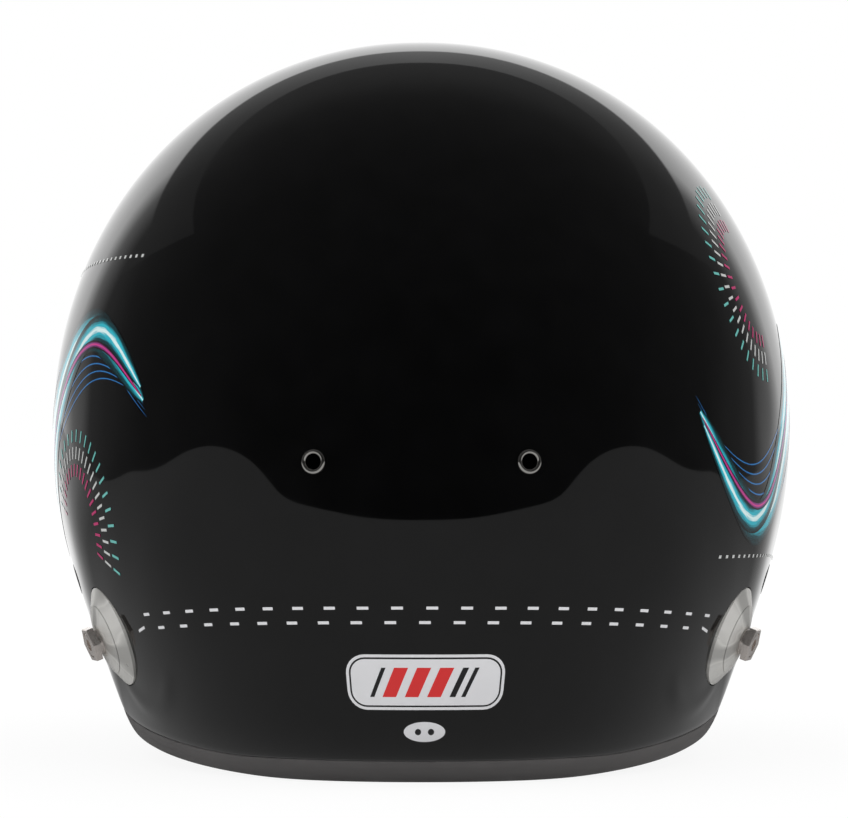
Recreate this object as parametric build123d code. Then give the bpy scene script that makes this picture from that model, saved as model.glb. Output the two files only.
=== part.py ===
# Full-face auto racing helmet, size 58, standing on the flat lower edge of its shell.
# +Z is up, the wearer faces -Y and the wearer's left is +X. Lengths are in millimetres.
# Every place is worked out from the widest line of the shell, y = 0. Each piece is then moved
# along Y, so that the origin lies on the floor under the middle of the whole helmet.
import os
from functools import lru_cache
from math import acos, copysign, cos, degrees, radians, sin

from build123d import *

# Outer form of the shell: half sizes at the widest level and at the lower edge
SHELL_HEIGHT = 241.5
HALF_WIDTH = 125.0
WIDTH_LEVEL = 108.5
BASE_HALF_WIDTH = 96.7
REAR_REACH = 162.0
REAR_LEVEL = 84.0
BASE_REAR_REACH = 142.0
FRONT_REACH = 175.0
FRONT_LEVEL = 45.0
BASE_FRONT_REACH = 166.0
FRONT_PLAN_POWER = 2.2
REAR_PLAN_POWER = 2.15
WIDTH_DOME_POWER = 2.06
REAR_DOME_POWER = 2.1
FRONT_DOME_POWER = 2.0
LOWER_CURVE_SHARES = (1.5, 0.1, -0.6)

# Tuck of the lowest band towards the neck, and the rise of the rim along the sides
END_LIP_TUCK = 14.4
SIDE_LIP_TUCK = 5.0
LIP_HEIGHT = 32.0
LIP_POWER = 4
RIM_RISE = 9.5
RIM_REAR_FLAT = 114.0
RIM_REAR_CREST = 22.0
RIM_FRONT_CREST = -30.0
RIM_FRONT_FLAT = -140.0
RIM_BEND = 120.0

# Step in the side of the shell that the visor arms lie in
SHOULDER_STEP = 6.0
SHOULDER_START = 14.0
SHOULDER_RUN = 34.0
SHOULDER_FOOT = 40.0
SHOULDER_RISE = 35.0

# Lofting of the form
RING_POINTS = 72
LOWER_LEVEL_SHARES = (0.0, 0.05, 0.1, 0.16, 0.23, 0.32, 0.46, 0.64, 0.82)
DOME_TURNS = (0, 12, 24, 36, 48, 58, 67, 75, 81, 86)

# Layers, each one an inset from the outer form
SHELL_WALL = 3.2
LAYER_GAP = 0.3
CROWN_FOAM_DEPTH = 37.0
CHIN_FOAM_DEPTH = 25.0
NAPE_FOAM_DEPTH = 20.0
COMFORT_THICKNESS = 8.5
NAPE_PAD_THICKNESS = 17.0
CHEEK_PAD_START = 9.0
CHEEK_PAD_DEPTH = 42.0

# Side outlines of the foam and the pads
CROWN_FOAM_FOOT = 16.0
NAPE_PAD_TOP = 46.0
CROWN_FOAM_OVER_CHEEK = 94.0
CHEEK_PAD_REAR = 50.0
CHEEK_PAD_FRONT = -104.0
CHEEK_PAD_FOOT = 14.0
CHEEK_PAD_REAR_TOP = 90.0
CHEEK_PAD_FRONT_TOP = 74.0
CHEEK_PAD_SLOPE_REAR = -34.0
CHEEK_PAD_SLOPE_FRONT = -48.0
CHIN_FOAM_REAR = -110.0
COMFORT_FOOT = 62.0
NAPE_PAD_FOOT = 12.0

# Eyeport and its gasket
EYEPORT_SILL = 83.0
EYEPORT_HEIGHT = 66.0
EYEPORT_REAR = -52.0
EYEPORT_CORNER = 30.0
GASKET_LIP = 5.0
GASKET_WEB = 2.5
GASKET_BEAD = 2.5
GASKET_INNER_LIP = 1.8
FOAM_MARGIN = 6.5
COMFORT_MARGIN = 10.0

# Lower edge trim: a channel pushed over the rim of the shell
TRIM_HEIGHT = 7.5
TRIM_WEB = 2.0
TRIM_OUTER_LEG = 1.8
TRIM_INNER_LEG = 1.8

# Visor and its pivots
VISOR_STANDOFF = 3.2
VISOR_WALL = 2.4
VISOR_BOTTOM = 72.0
VISOR_TOP = 160.0
VISOR_SHOULDER = -76.0
VISOR_CORNER = 34.0
PIVOT_BACK = -24.0
PIVOT_HEIGHT = 118.0
PIVOT_BOSS_RADIUS = 14.0
PIVOT_CUT_RADIUS = 12.0
PIVOT_GAP = 0.4
PIVOT_PLATE_RADIUS = 12.0
PIVOT_SHOULDER_RADIUS = 3.0
PIVOT_THREAD_RADIUS = 2.5
PIVOT_HEAD_RADIUS = 6.5
PIVOT_HEAD_HEIGHT = 1.7
PIVOT_NUT_RADIUS = 8.0
PIVOT_NUT_DEPTH = 3.0
PIVOT_THREAD_LENGTH = 11.0
COIN_SLOT_WIDTH = 1.4
COIN_SLOT_DEPTH = 0.9
VISOR_TAB_TURN = 236.0
VISOR_TAB_RISE = 5.0
VISOR_TAB_WIDTH = 20.0
VISOR_TAB_HEIGHT = 3.6
VISOR_TAB_REACH = 3.0
TEAROFF_TURN = 40.0
TEAROFF_LEVEL = 116.0
TEAROFF_BASE_RADIUS = 4.0
TEAROFF_BASE_HEIGHT = 1.0
TEAROFF_STEM_RADIUS = 2.2
TEAROFF_STEM_HEIGHT = 1.4
TEAROFF_HEAD_RADIUS = 3.4
TEAROFF_HEAD_HEIGHT = 1.1
TEAROFF_SHANK_RADIUS = 1.5

# Fits
RUNNING_FIT = 0.06
SNUG_FIT = 0.05

# Visor lock: a lever that turns over the lower edge of the visor
LOCK_TURN = 308.0
LOCK_LEVEL = 61.0
LOCK_BASE_RADIUS = 8.0
LOCK_LEVER_GAP = 0.7
LOCK_LEVER_LENGTH = 18.0
LOCK_LEVER_WIDTH = 9.0
LOCK_LEVER_THICKNESS = 2.6
LOCK_GRIP_HEIGHT = 2.2
LOCK_GRIP_WIDTH = 2.4
LOCK_SCREW_RADIUS = 2.0
LOCK_SCREW_HEAD_RADIUS = 3.4
LOCK_SCREW_HEAD_HEIGHT = 1.4

# Chin vent: frame with guides, mesh and sliding shutter
VENT_LEVEL = 55.0
VENT_WIDTH = 42.0
VENT_HEIGHT = 12.0
VENT_CORNER = 4.0
VENT_FRAME_CORNER = 7.0
VENT_COLLAR = 1.5
VENT_FACE = 1.9
VENT_TRAVEL = 13.0
SHUTTER_GAP = 0.25
SHUTTER_THICKNESS = 1.5
SHUTTER_OVERLAP = 1.5
GUIDE_WIDTH = 3.0
GUIDE_LIP = 2.0
GUIDE_LIP_THICKNESS = 0.9
GUIDE_END = 2.0
THUMB_RIDGE_WIDTH = 16.0
THUMB_RIDGE_HEIGHT = 2.2
VENT_MESH_DEPTH = 2.2
VENT_MESH_THICKNESS = 1.0
VENT_MESH_HOLE = 2.6
VENT_MESH_BAR = 1.0
VENT_DUCT_MARGIN = 1.0

# Brow vents: two small inlets above the visor
BROW_VENT_OFFSET = 26.0
BROW_VENT_LEVEL = 196.0
BROW_VENT_WIDTH = 16.0
BROW_VENT_HEIGHT = 8.0
BROW_VENT_WALL = 1.5
BROW_VENT_PROUD = 0.35
BROW_VENT_BAR = 0.9
BROW_VENT_BARS = 5

# Rear extraction eyelets
EYELET_OFFSET = 33.0
EYELET_LEVEL = 100.7
EYELET_OUTER_RADIUS = 3.85
EYELET_BORE_RADIUS = 2.35
EYELET_SHANK_RADIUS = 2.8
EYELET_PROUD = 0.9
EYELET_TAIL = 0.8
EYELET_DUCT_RADIUS = 4.0

# Head restraint anchors
ANCHOR_TURN = 26.6
ANCHOR_LEVEL = 43.0
ANCHOR_SEAT_DEPTH = 1.3
ANCHOR_SEAT_MARGIN = 0.4
ANCHOR_RADIUS = 16.75
ANCHOR_GASKET = 0.6
ANCHOR_RIM = 0.3
ANCHOR_STEP_RADIUS = 11.7
ANCHOR_STEP_HEIGHT = 2.9
ANCHOR_SPIGOT_RADIUS = 8.0
ANCHOR_SPIGOT_FLOOR = 1.0
ANCHOR_CONE_RADIUS = 5.4
ANCHOR_CONE_HEIGHT = 4.7
ANCHOR_GROOVE = 0.15
ANCHOR_NECK_RADIUS = 4.25
ANCHOR_HEX_RADIUS = 6.2
ANCHOR_HEX_BASE = 6.3
ANCHOR_HEX_THICKNESS = 2.3
ANCHOR_SCREW_RADIUS = 2.5
ANCHOR_SCREW_HEAD_RADIUS = 4.0
ANCHOR_SCREW_HEAD_HEIGHT = 2.0
ANCHOR_SOCKET_RADIUS = 2.2
ANCHOR_SOCKET_DEPTH = 1.4
ANCHOR_NUT_RADIUS = 9.0
ANCHOR_NUT_FLANGE = 1.5
ANCHOR_NUT_BARREL_RADIUS = 4.0
ANCHOR_NUT_BARREL = 4.5

# Chin straps, their anchors, sleeves and rings
STRAP_TURN = 8.5
STRAP_LEVEL = 60.0
STRAP_WIDTH = 24.0
STRAP_THICKNESS = 2.0
STRAP_OUTER_INSET = 7.4
STRAP_PAD_GAP = 4.5
STRAP_CHANNEL_DEPTH = 15.0
STRAP_CHANNEL_MARGIN = 1.5
STRAP_TOP = 69.0
STRAP_MIDDLE = 30.0
STRAP_FOOT = 11.4
STRAP_LOOP_TOP = 60.0
STRAP_LOOP_RUN = 18.0
LONG_STRAP_RUN = 34.0
SHORT_STRAP_END = 42.0
LONG_STRAP_END = 12.0
STRAP_BEND = 4.5
STRAP_LOOP_BEND = 7.5
PLATE_WIDTH = 30.0
PLATE_HEIGHT = 16.0
PLATE_THICKNESS = 1.8
RIVET_SPACING = 16.0
RIVET_RADIUS = 2.2
RIVET_HEAD_RADIUS = 5.0
RIVET_HEAD_HEIGHT = 0.8
RIVET_SEAT_DEPTH = 1.0
RIVET_SEAT_MARGIN = 0.2
RIVET_TAIL_RADIUS = 3.6
RIVET_TAIL_HEIGHT = 1.0
SLEEVE_WIDTH = 32.0
SLEEVE_THICKNESS = 7.0
SLEEVE_BORE_GAP = 0.3
SLEEVE_FOOT = 17.0
SLEEVE_LENGTH = 30.0
RING_WIRE_RADIUS = 1.5
RING_HALF_SPAN = 14.0
RING_CHANNEL_WALL = 1.2
RING_CHANNEL_WIDTH = 22.0

# Press studs that hold the cheek pads
STUD_TURNS = (-16.0, -34.0)
STUD_LEVEL = 50.0
STUD_PLATE_RADIUS = 6.0
STUD_PLATE_THICKNESS = 1.5
STUD_RADIUS = 2.2
STUD_LENGTH = 9.0
STUD_SOCKET_GAP = 0.4

# One overrun serves every cut
OVERRUN = 12.0
SPAN = 2 * (REAR_REACH + FRONT_REACH)

LEFT, RIGHT = 1, -1
SIDE_NAMES = {LEFT: "left", RIGHT: "right"}


# Outer form

def smooth(share):
    """Smooth step from 0 to 1."""
    held = min(max(share, 0.0), 1.0)
    return held * held * (3 - 2 * held)


def level_size(height, full, widest, base, power, lip_tuck, inset):
    """Half size of the form at one height: a dome above the widest level, a tuck-in below it."""
    if height >= widest:
        share = (height - widest) / (SHELL_HEIGHT - inset - widest)
        return (full - inset) * (1 - share**power) ** (1 / power)
    drop = 1 - height / widest
    tuck = sum(share * drop ** (order + 2) for order, share in enumerate(LOWER_CURVE_SHARES))
    lip = max(1 - height / LIP_HEIGHT, 0.0) ** LIP_POWER
    return full - inset - (full - base) * tuck - lip_tuck * lip


def half_width(height, inset=0.0):
    """Half width of the form, before the shoulder step is taken off."""
    return level_size(height, HALF_WIDTH, WIDTH_LEVEL, BASE_HALF_WIDTH, WIDTH_DOME_POWER,
                      SIDE_LIP_TUCK, inset)


def rear_reach(height, inset=0.0):
    """Distance from the widest line back to the rear of the form."""
    return level_size(height, REAR_REACH, REAR_LEVEL, BASE_REAR_REACH, REAR_DOME_POWER,
                      END_LIP_TUCK, inset)


def front_reach(height, inset=0.0):
    """Distance from the widest line forward to the front of the form."""
    return level_size(height, FRONT_REACH, FRONT_LEVEL, BASE_FRONT_REACH, FRONT_DOME_POWER,
                      END_LIP_TUCK, inset)


def shoulder(y, height, inset=0.0):
    """How far the side is stepped in at one place."""
    along = smooth((SHOULDER_START - y) / SHOULDER_RUN)
    upward = smooth((height - SHOULDER_FOOT) / SHOULDER_RISE)
    return SHOULDER_STEP * along * upward * half_width(height, inset) / (HALF_WIDTH - inset)


def form_point(turn, height, inset=0.0):
    """Point of the form at a plan turn: 0 is the left side, 90 the rear and 270 the front."""
    across, along = cos(radians(turn)), sin(radians(turn))
    to_rear = along > 0
    power = REAR_PLAN_POWER if to_rear else FRONT_PLAN_POWER
    reach = rear_reach(height, inset) if to_rear else front_reach(height, inset)
    y = copysign(reach * abs(along) ** (2 / power), along)
    side = half_width(height, inset) - shoulder(y, height, inset)
    return Vector(copysign(side * abs(across) ** (2 / power), across), y, height)


def turn_at(offset, height, rear=True):
    """Plan turn at which the form is this far from the middle plane, at the rear or the front."""
    power = REAR_PLAN_POWER if rear else FRONT_PLAN_POWER
    turn = degrees(acos((abs(offset) / half_width(height)) ** (power / 2)))
    turn = turn if offset > 0 else 180 - turn
    return turn if rear else 360 - turn


def side_distance(y, height):
    """Distance from the middle plane to the side of the form."""
    power = REAR_PLAN_POWER if y > 0 else FRONT_PLAN_POWER
    reach = rear_reach(height) if y > 0 else front_reach(height)
    share = (1 - (abs(y) / reach) ** power) ** (1 / power)
    return (half_width(height) - shoulder(y, height)) * share


def form_plane(turn, height):
    """Plane that touches the form, with its normal outward and its X axis level."""
    step = 1.0
    here = form_point(turn, height)
    level = (form_point(turn + step, height) - form_point(turn - step, height)).normalized()
    rise = form_point(turn, height + step) - form_point(turn, height - step)
    return Plane(origin=here, x_dir=level, z_dir=level.cross(rise).normalized())


def form_levels(inset):
    """Heights of the sections that the form is lofted through."""
    top = SHELL_HEIGHT - inset
    below = [WIDTH_LEVEL * share for share in LOWER_LEVEL_SHARES]
    dome = [WIDTH_LEVEL + (top - WIDTH_LEVEL) * sin(radians(turn)) for turn in DOME_TURNS]
    return [-OVERRUN / 3, *below, *dome]


@lru_cache(maxsize=None)
def form(inset=0.0):
    """Solid inside the outer form, drawn in by an inset, or grown where it is negative."""
    shares = [count / RING_POINTS for count in range(RING_POINTS + 1)]
    rings = []
    for height in form_levels(inset):
        points = [form_point(360 * share, height, inset) for share in shares[:-1]]
        rings.append(Wire([Edge.make_spline(points, periodic=True, parameters=shares)]))
    return Solid.make_loft(rings)


def upright_form(height, inset):
    """Upright column with the outline that the form has at one height."""
    shares = [count / RING_POINTS for count in range(RING_POINTS + 1)]
    points = [form_point(360 * share, height, inset) for share in shares[:-1]]
    outline = Wire([Edge.make_spline(points, periodic=True, parameters=shares)])
    column = extrude(Face(outline), amount=SHELL_HEIGHT, dir=(0, 0, 1))
    return Pos(0, 0, -height) * column


# Cutting helpers

def slab(low, high):
    """Everything between two heights."""
    return Pos(0, 0, (low + high) / 2) * Box(SPAN, SPAN, high - low)


def side_prism(points):
    """Prism across the whole width over an outline given as (y, z) points."""
    outline = make_face(Polyline(*points, close=True))
    return extrude(Plane.YZ * outline, amount=SPAN / 2, both=True)


def below_rim(lift):
    """Everything under the rim curve, which rises along the sides, lifted by a distance."""
    top = [
        (-FRONT_REACH - OVERRUN, lift), (RIM_FRONT_FLAT, lift), (RIM_FRONT_CREST, RIM_RISE + lift),
        (RIM_REAR_CREST, RIM_RISE + lift), (RIM_REAR_FLAT, lift), (REAR_REACH + OVERRUN, lift),
    ]
    curve = FilletPolyline(*top, radius=RIM_BEND)
    sides = Polyline(top[-1], (top[-1][0], -2 * OVERRUN), (top[0][0], -2 * OVERRUN), top[0])
    return extrude(Plane.YZ * make_face([curve, sides]), amount=SPAN / 2, both=True)


def front_prism(width, height, corner, level, offset=0.0):
    """Rounded rectangle carried forward from the middle of the helmet."""
    outline = Plane.XZ * (Pos(offset, level) * RectangleRounded(width, height, corner))
    return extrude(outline, amount=SPAN / 2)


def half_space(side, start=0.0):
    """Everything on one side of the middle plane, from a distance outward."""
    return Pos(side * (start + SPAN / 2), 0, 0) * Box(SPAN, SPAN, SPAN)


def disc(radius, low, high):
    """Cylinder between two levels of its own axis."""
    return Pos(0, 0, (low + high) / 2) * Cylinder(radius, high - low)


def eyeport_prism(margin=0.0):
    """Prism over the eyeport outline, grown by a margin."""
    length = FRONT_REACH + EYEPORT_REAR + EYEPORT_CORNER + OVERRUN
    middle = (EYEPORT_REAR - length / 2, EYEPORT_SILL + EYEPORT_HEIGHT / 2)
    outline = Pos(*middle) * RectangleRounded(
        length + 2 * margin, EYEPORT_HEIGHT + 2 * margin, EYEPORT_CORNER + margin
    )
    return extrude(Plane.YZ * outline, amount=SPAN / 2, both=True)


def side_turn(side, turn):
    """Mirror a plan turn to the chosen side."""
    return turn if side == LEFT else 180 - turn


# Planes that small pieces are built on

def pivot_plane(side):
    """Plane at the visor pivot in the middle plane, with its normal out to the side."""
    return Plane(origin=(0, PIVOT_BACK, PIVOT_HEIGHT), x_dir=(0, side, 0), z_dir=(side, 0, 0))


def anchor_plane(side):
    """Plane on the shell at a head restraint anchor."""
    return form_plane(side_turn(side, ANCHOR_TURN), ANCHOR_LEVEL)


def eyelet_plane(side):
    """Plane on the shell at a rear eyelet."""
    return form_plane(turn_at(side * EYELET_OFFSET, EYELET_LEVEL), EYELET_LEVEL)


def brow_plane(side):
    """Plane on the shell at a brow vent."""
    return form_plane(turn_at(side * BROW_VENT_OFFSET, BROW_VENT_LEVEL, rear=False), BROW_VENT_LEVEL)


def lock_plane():
    """Plane on the shell at the visor lock."""
    return form_plane(LOCK_TURN, LOCK_LEVEL)


def tearoff_plane(side):
    """Plane on the shell at a tear-off post."""
    return form_plane(270 + side * TEAROFF_TURN, TEAROFF_LEVEL)


def rivet_planes(side):
    """Planes on the shell at the two rivets of a strap anchor."""
    middle = form_plane(side_turn(side, STRAP_TURN), STRAP_LEVEL)
    return [middle.shift_origin(middle.from_local_coords((offset, 0, 0)))
            for offset in (-RIVET_SPACING / 2, RIVET_SPACING / 2)]


def stud_planes(side):
    """Planes on the shell at the press studs of a cheek pad."""
    return [form_plane(side_turn(side, turn), STUD_LEVEL) for turn in STUD_TURNS]


# Levels along the visor pivot, measured out from the middle plane

PIVOT_SEAT = side_distance(PIVOT_BACK + PIVOT_BOSS_RADIUS, WIDTH_LEVEL)
BOSS_INNER = PIVOT_SEAT + PIVOT_GAP
BOSS_OUTER = BOSS_INNER + VISOR_WALL
HEAD_INNER = BOSS_OUTER + PIVOT_GAP / 2
HEAD_OUTER = HEAD_INNER + PIVOT_HEAD_HEIGHT
PLATE_OUTER = BOSS_INNER - PIVOT_GAP / 2
THREAD_END = PLATE_OUTER - PIVOT_THREAD_LENGTH
ANCHOR_HEX_TOP = ANCHOR_HEX_BASE + ANCHOR_HEX_THICKNESS
ANCHOR_NUT_INNER = SHELL_WALL + ANCHOR_NUT_FLANGE
SHUTTER_INNER = VENT_FACE + SHUTTER_GAP
SHUTTER_OUTER = SHUTTER_INNER + SHUTTER_THICKNESS
GUIDE_OUTER = SHUTTER_OUTER + SHUTTER_GAP + GUIDE_LIP_THICKNESS
STUD_END = SHELL_WALL + STUD_PLATE_THICKNESS + STUD_LENGTH
LOCK_LEVER_BASE = VISOR_STANDOFF + VISOR_WALL + LOCK_LEVER_GAP
LOCK_LEVER_TOP = LOCK_LEVER_BASE + LOCK_LEVER_THICKNESS
VISOR_FRONT = front_reach(VISOR_BOTTOM, -VISOR_STANDOFF - VISOR_WALL)
PLAN_SHIFT = (max(VISOR_FRONT, FRONT_REACH + GUIDE_OUTER) - REAR_REACH) / 2


# Shell and the pieces on its rims

def make_outer_shell():
    """Hard shell: one moulded wall with its openings, seats and fixing holes."""
    wall = form(0) - form(SHELL_WALL)
    rim_band = below_rim(TRIM_HEIGHT + SNUG_FIT) - form(TRIM_OUTER_LEG + SNUG_FIT)
    cuts = [below_rim(TRIM_WEB + SNUG_FIT), rim_band, eyeport_prism()]
    vent_grow = 2 * (VENT_COLLAR + SNUG_FIT)
    cuts.append(front_prism(VENT_WIDTH + vent_grow, VENT_HEIGHT + vent_grow,
                            VENT_CORNER + VENT_COLLAR, VENT_LEVEL))
    for side in (LEFT, RIGHT):
        cuts.append(pivot_plane(side) * disc(PIVOT_THREAD_RADIUS + SNUG_FIT, HALF_WIDTH / 2, HALF_WIDTH))
        seat = disc(ANCHOR_RADIUS + ANCHOR_SEAT_MARGIN, -ANCHOR_SEAT_DEPTH, OVERRUN)
        hole = disc(ANCHOR_SCREW_RADIUS + SNUG_FIT, -OVERRUN, OVERRUN)
        cuts.append(anchor_plane(side) * (seat + hole))
        cuts.append(eyelet_plane(side) * disc(EYELET_SHANK_RADIUS + SNUG_FIT, -OVERRUN, OVERRUN))
        cuts.append(brow_plane(side) * brow_oval(SNUG_FIT, -OVERRUN, OVERRUN))
        for plane in rivet_planes(side):
            cuts.append(plane * disc(RIVET_RADIUS + SNUG_FIT, -OVERRUN, OVERRUN))
            cuts.append(plane * disc(RIVET_HEAD_RADIUS + RIVET_SEAT_MARGIN, -RIVET_SEAT_DEPTH, OVERRUN))
    cuts.append(lock_plane() * disc(LOCK_SCREW_RADIUS + SNUG_FIT, -OVERRUN, OVERRUN))
    return wall - cuts


def make_lower_edge_trim():
    """Rubber channel over the lower rim, level with the shell outside and flat underneath."""
    inner_face = SHELL_WALL + SNUG_FIT + TRIM_INNER_LEG
    ring = (form(0) - form(inner_face)) & below_rim(TRIM_HEIGHT)
    groove = (form(TRIM_OUTER_LEG) - form(SHELL_WALL + SNUG_FIT)) - below_rim(TRIM_WEB)
    return ring - [groove, below_rim(0)]


def make_eyeport_gasket():
    """Rubber gasket that grips the rim of the eyeport and stands proud as a sealing bead."""
    ring = (form(-GASKET_BEAD) - form(SHELL_WALL + SNUG_FIT + GASKET_INNER_LIP))
    ring = ring & (eyeport_prism(GASKET_LIP) - eyeport_prism(-GASKET_WEB))
    shell_slot = (form(-SNUG_FIT) - form(SHELL_WALL + SNUG_FIT)) - eyeport_prism(-SNUG_FIT)
    return ring - shell_slot


# Energy foam and padding

def make_crown_foam():
    """Foam bowl of the crown and the rear, stepped in at the nape for the neck pad."""
    rear, front = REAR_REACH + OVERRUN, -FRONT_REACH - OVERRUN
    top = SHELL_HEIGHT + OVERRUN
    eyeport_middle = EYEPORT_SILL + EYEPORT_HEIGHT / 2
    outline = side_prism([
        (rear, CROWN_FOAM_FOOT), (CHEEK_PAD_REAR + LAYER_GAP, CROWN_FOAM_FOOT),
        (CHEEK_PAD_REAR + LAYER_GAP, CROWN_FOAM_OVER_CHEEK),
        (EYEPORT_REAR - EYEPORT_CORNER, CROWN_FOAM_OVER_CHEEK),
        (EYEPORT_REAR - EYEPORT_CORNER, eyeport_middle), (front, eyeport_middle),
        (front, top), (rear, top),
    ])
    foam = (form(SHELL_WALL + LAYER_GAP) - form(CROWN_FOAM_DEPTH)) & outline
    cuts = [eyeport_prism(FOAM_MARGIN), form(NAPE_FOAM_DEPTH) & slab(-OVERRUN, NAPE_PAD_TOP)]
    for side in (LEFT, RIGHT):
        cuts.append(anchor_plane(side) * disc(ANCHOR_NUT_RADIUS + LAYER_GAP,
                                              -ANCHOR_NUT_INNER - ANCHOR_NUT_BARREL - LAYER_GAP, 0))
        cuts.append(eyelet_plane(side) * disc(EYELET_DUCT_RADIUS, -CROWN_FOAM_DEPTH - OVERRUN, 0))
        cuts.append(brow_plane(side) * brow_oval(LAYER_GAP, -CROWN_FOAM_DEPTH - OVERRUN, 0))
        nut_reach = THREAD_END - LAYER_GAP
        cuts.append(pivot_plane(side) * disc(PIVOT_NUT_RADIUS + LAYER_GAP, nut_reach, HALF_WIDTH))
    return foam - cuts


def make_chin_foam():
    """Foam block inside the chin bar, with the air duct of the chin vent through it."""
    front = -FRONT_REACH - OVERRUN
    outline = side_prism([
        (front, CROWN_FOAM_FOOT), (CHIN_FOAM_REAR, CROWN_FOAM_FOOT),
        (CHIN_FOAM_REAR, CHEEK_PAD_FRONT_TOP), (front, CHEEK_PAD_FRONT_TOP),
    ])
    foam = (form(SHELL_WALL + LAYER_GAP) - form(CHIN_FOAM_DEPTH)) & outline
    duct_grow = 2 * (VENT_COLLAR + VENT_DUCT_MARGIN)
    duct = front_prism(VENT_WIDTH + duct_grow, VENT_HEIGHT + duct_grow, VENT_CORNER, VENT_LEVEL)
    lock_end = lock_plane() * disc(LOCK_SCREW_HEAD_RADIUS, -OVERRUN, 0)
    return foam - [duct, lock_end]


def make_crown_comfort_liner():
    """Removable cloth liner inside the crown foam."""
    rear, front = REAR_REACH + OVERRUN, -FRONT_REACH - OVERRUN
    top = SHELL_HEIGHT + OVERRUN
    outline = side_prism([
        (rear, COMFORT_FOOT), (CHEEK_PAD_REAR + LAYER_GAP, COMFORT_FOOT),
        (CHEEK_PAD_REAR + LAYER_GAP, CROWN_FOAM_OVER_CHEEK),
        (CHEEK_PAD_SLOPE_REAR, CROWN_FOAM_OVER_CHEEK),
        (front, EYEPORT_SILL + EYEPORT_HEIGHT / 2), (front, top), (rear, top),
    ])
    start = CROWN_FOAM_DEPTH + LAYER_GAP
    liner = (form(start) - form(start + COMFORT_THICKNESS)) & outline
    return liner - eyeport_prism(COMFORT_MARGIN)


def cheek_outline():
    """Side outline of a cheek pad, lower in front under the eyeport."""
    return side_prism([
        (CHEEK_PAD_REAR, CHEEK_PAD_FOOT), (CHEEK_PAD_REAR, CHEEK_PAD_REAR_TOP),
        (CHEEK_PAD_SLOPE_REAR, CHEEK_PAD_REAR_TOP), (CHEEK_PAD_SLOPE_FRONT, CHEEK_PAD_FRONT_TOP),
        (CHEEK_PAD_FRONT, CHEEK_PAD_FRONT_TOP), (CHEEK_PAD_FRONT, CHEEK_PAD_FOOT),
    ])


def make_cheek_pad(side):
    """Thick cheek pad between the strap and the face, with sockets for its press studs."""
    pad = (form(CHEEK_PAD_START) - form(CHEEK_PAD_DEPTH)) & cheek_outline() & half_space(side)
    sockets = [plane * disc(STUD_RADIUS + STUD_SOCKET_GAP, -STUD_END - LAYER_GAP, 0)
               for plane in stud_planes(side)]
    return pad - [*sockets, strap_channel(side)]


def make_nape_pad():
    """Neck roll that closes the rear of the lower opening."""
    start = NAPE_FOAM_DEPTH + LAYER_GAP
    rear = REAR_REACH + OVERRUN
    outline = side_prism([
        (CHEEK_PAD_REAR + LAYER_GAP, NAPE_PAD_FOOT), (rear, NAPE_PAD_FOOT),
        (rear, NAPE_PAD_TOP - LAYER_GAP), (CHEEK_PAD_REAR + LAYER_GAP, NAPE_PAD_TOP - LAYER_GAP),
    ])
    return (form(start) - form(start + NAPE_PAD_THICKNESS)) & outline


# Visor and pivots

def visor_outline():
    """Side outline of the visor: two arms that widen into the shield."""
    half_arm = PIVOT_BOSS_RADIUS
    front = -FRONT_REACH - 2 * OVERRUN
    points = [
        (PIVOT_BACK, PIVOT_HEIGHT - half_arm), (VISOR_SHOULDER, VISOR_BOTTOM), (front, VISOR_BOTTOM),
        (front, VISOR_TOP), (VISOR_SHOULDER, VISOR_TOP), (PIVOT_BACK, PIVOT_HEIGHT + half_arm),
    ]
    outline = make_face(Polyline(*points, close=True))
    corners = [corner for corner in outline.vertices() if abs(corner.X - VISOR_SHOULDER) < SNUG_FIT]
    outline = fillet(corners, VISOR_CORNER)
    return extrude(Plane.YZ * outline, amount=SPAN / 2, both=True)


def make_visor_shield():
    """Curved polycarbonate visor with flat pivot bosses and a finger tab."""
    shield = (form(-VISOR_STANDOFF - VISOR_WALL) - form(-VISOR_STANDOFF)) & visor_outline()
    holes = []
    for side in (LEFT, RIGHT):
        shield -= pivot_plane(side) * disc(PIVOT_CUT_RADIUS, 0, HALF_WIDTH + OVERRUN)
        shield += pivot_plane(side) * disc(PIVOT_BOSS_RADIUS, BOSS_INNER, BOSS_OUTER)
        holes.append(pivot_plane(side) * disc(PIVOT_SHOULDER_RADIUS + RUNNING_FIT, 0, SPAN / 2))
        holes.append(tearoff_plane(side) * disc(TEAROFF_SHANK_RADIUS + SNUG_FIT, -OVERRUN, OVERRUN))
    tab_plane = form_plane(VISOR_TAB_TURN, VISOR_BOTTOM + VISOR_TAB_RISE)
    tab_root = VISOR_STANDOFF + VISOR_WALL / 2
    tab_depth = VISOR_WALL / 2 + VISOR_TAB_REACH
    tab = Pos(0, 0, tab_root + tab_depth / 2) * Box(VISOR_TAB_WIDTH, VISOR_TAB_HEIGHT, tab_depth)
    tab = fillet(tab.edges().group_by(Axis.Z)[-1], VISOR_TAB_HEIGHT / 4)
    return shield + tab_plane * tab - holes


def make_visor_base_plate(side):
    """Round plate that fills the step between the curved shell and the flat visor boss."""
    plate = disc(PIVOT_PLATE_RADIUS, HALF_WIDTH / 2, PLATE_OUTER)
    plate -= disc(PIVOT_THREAD_RADIUS + SNUG_FIT, 0, HALF_WIDTH)
    return pivot_plane(side) * plate - form(-SNUG_FIT)


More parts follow.
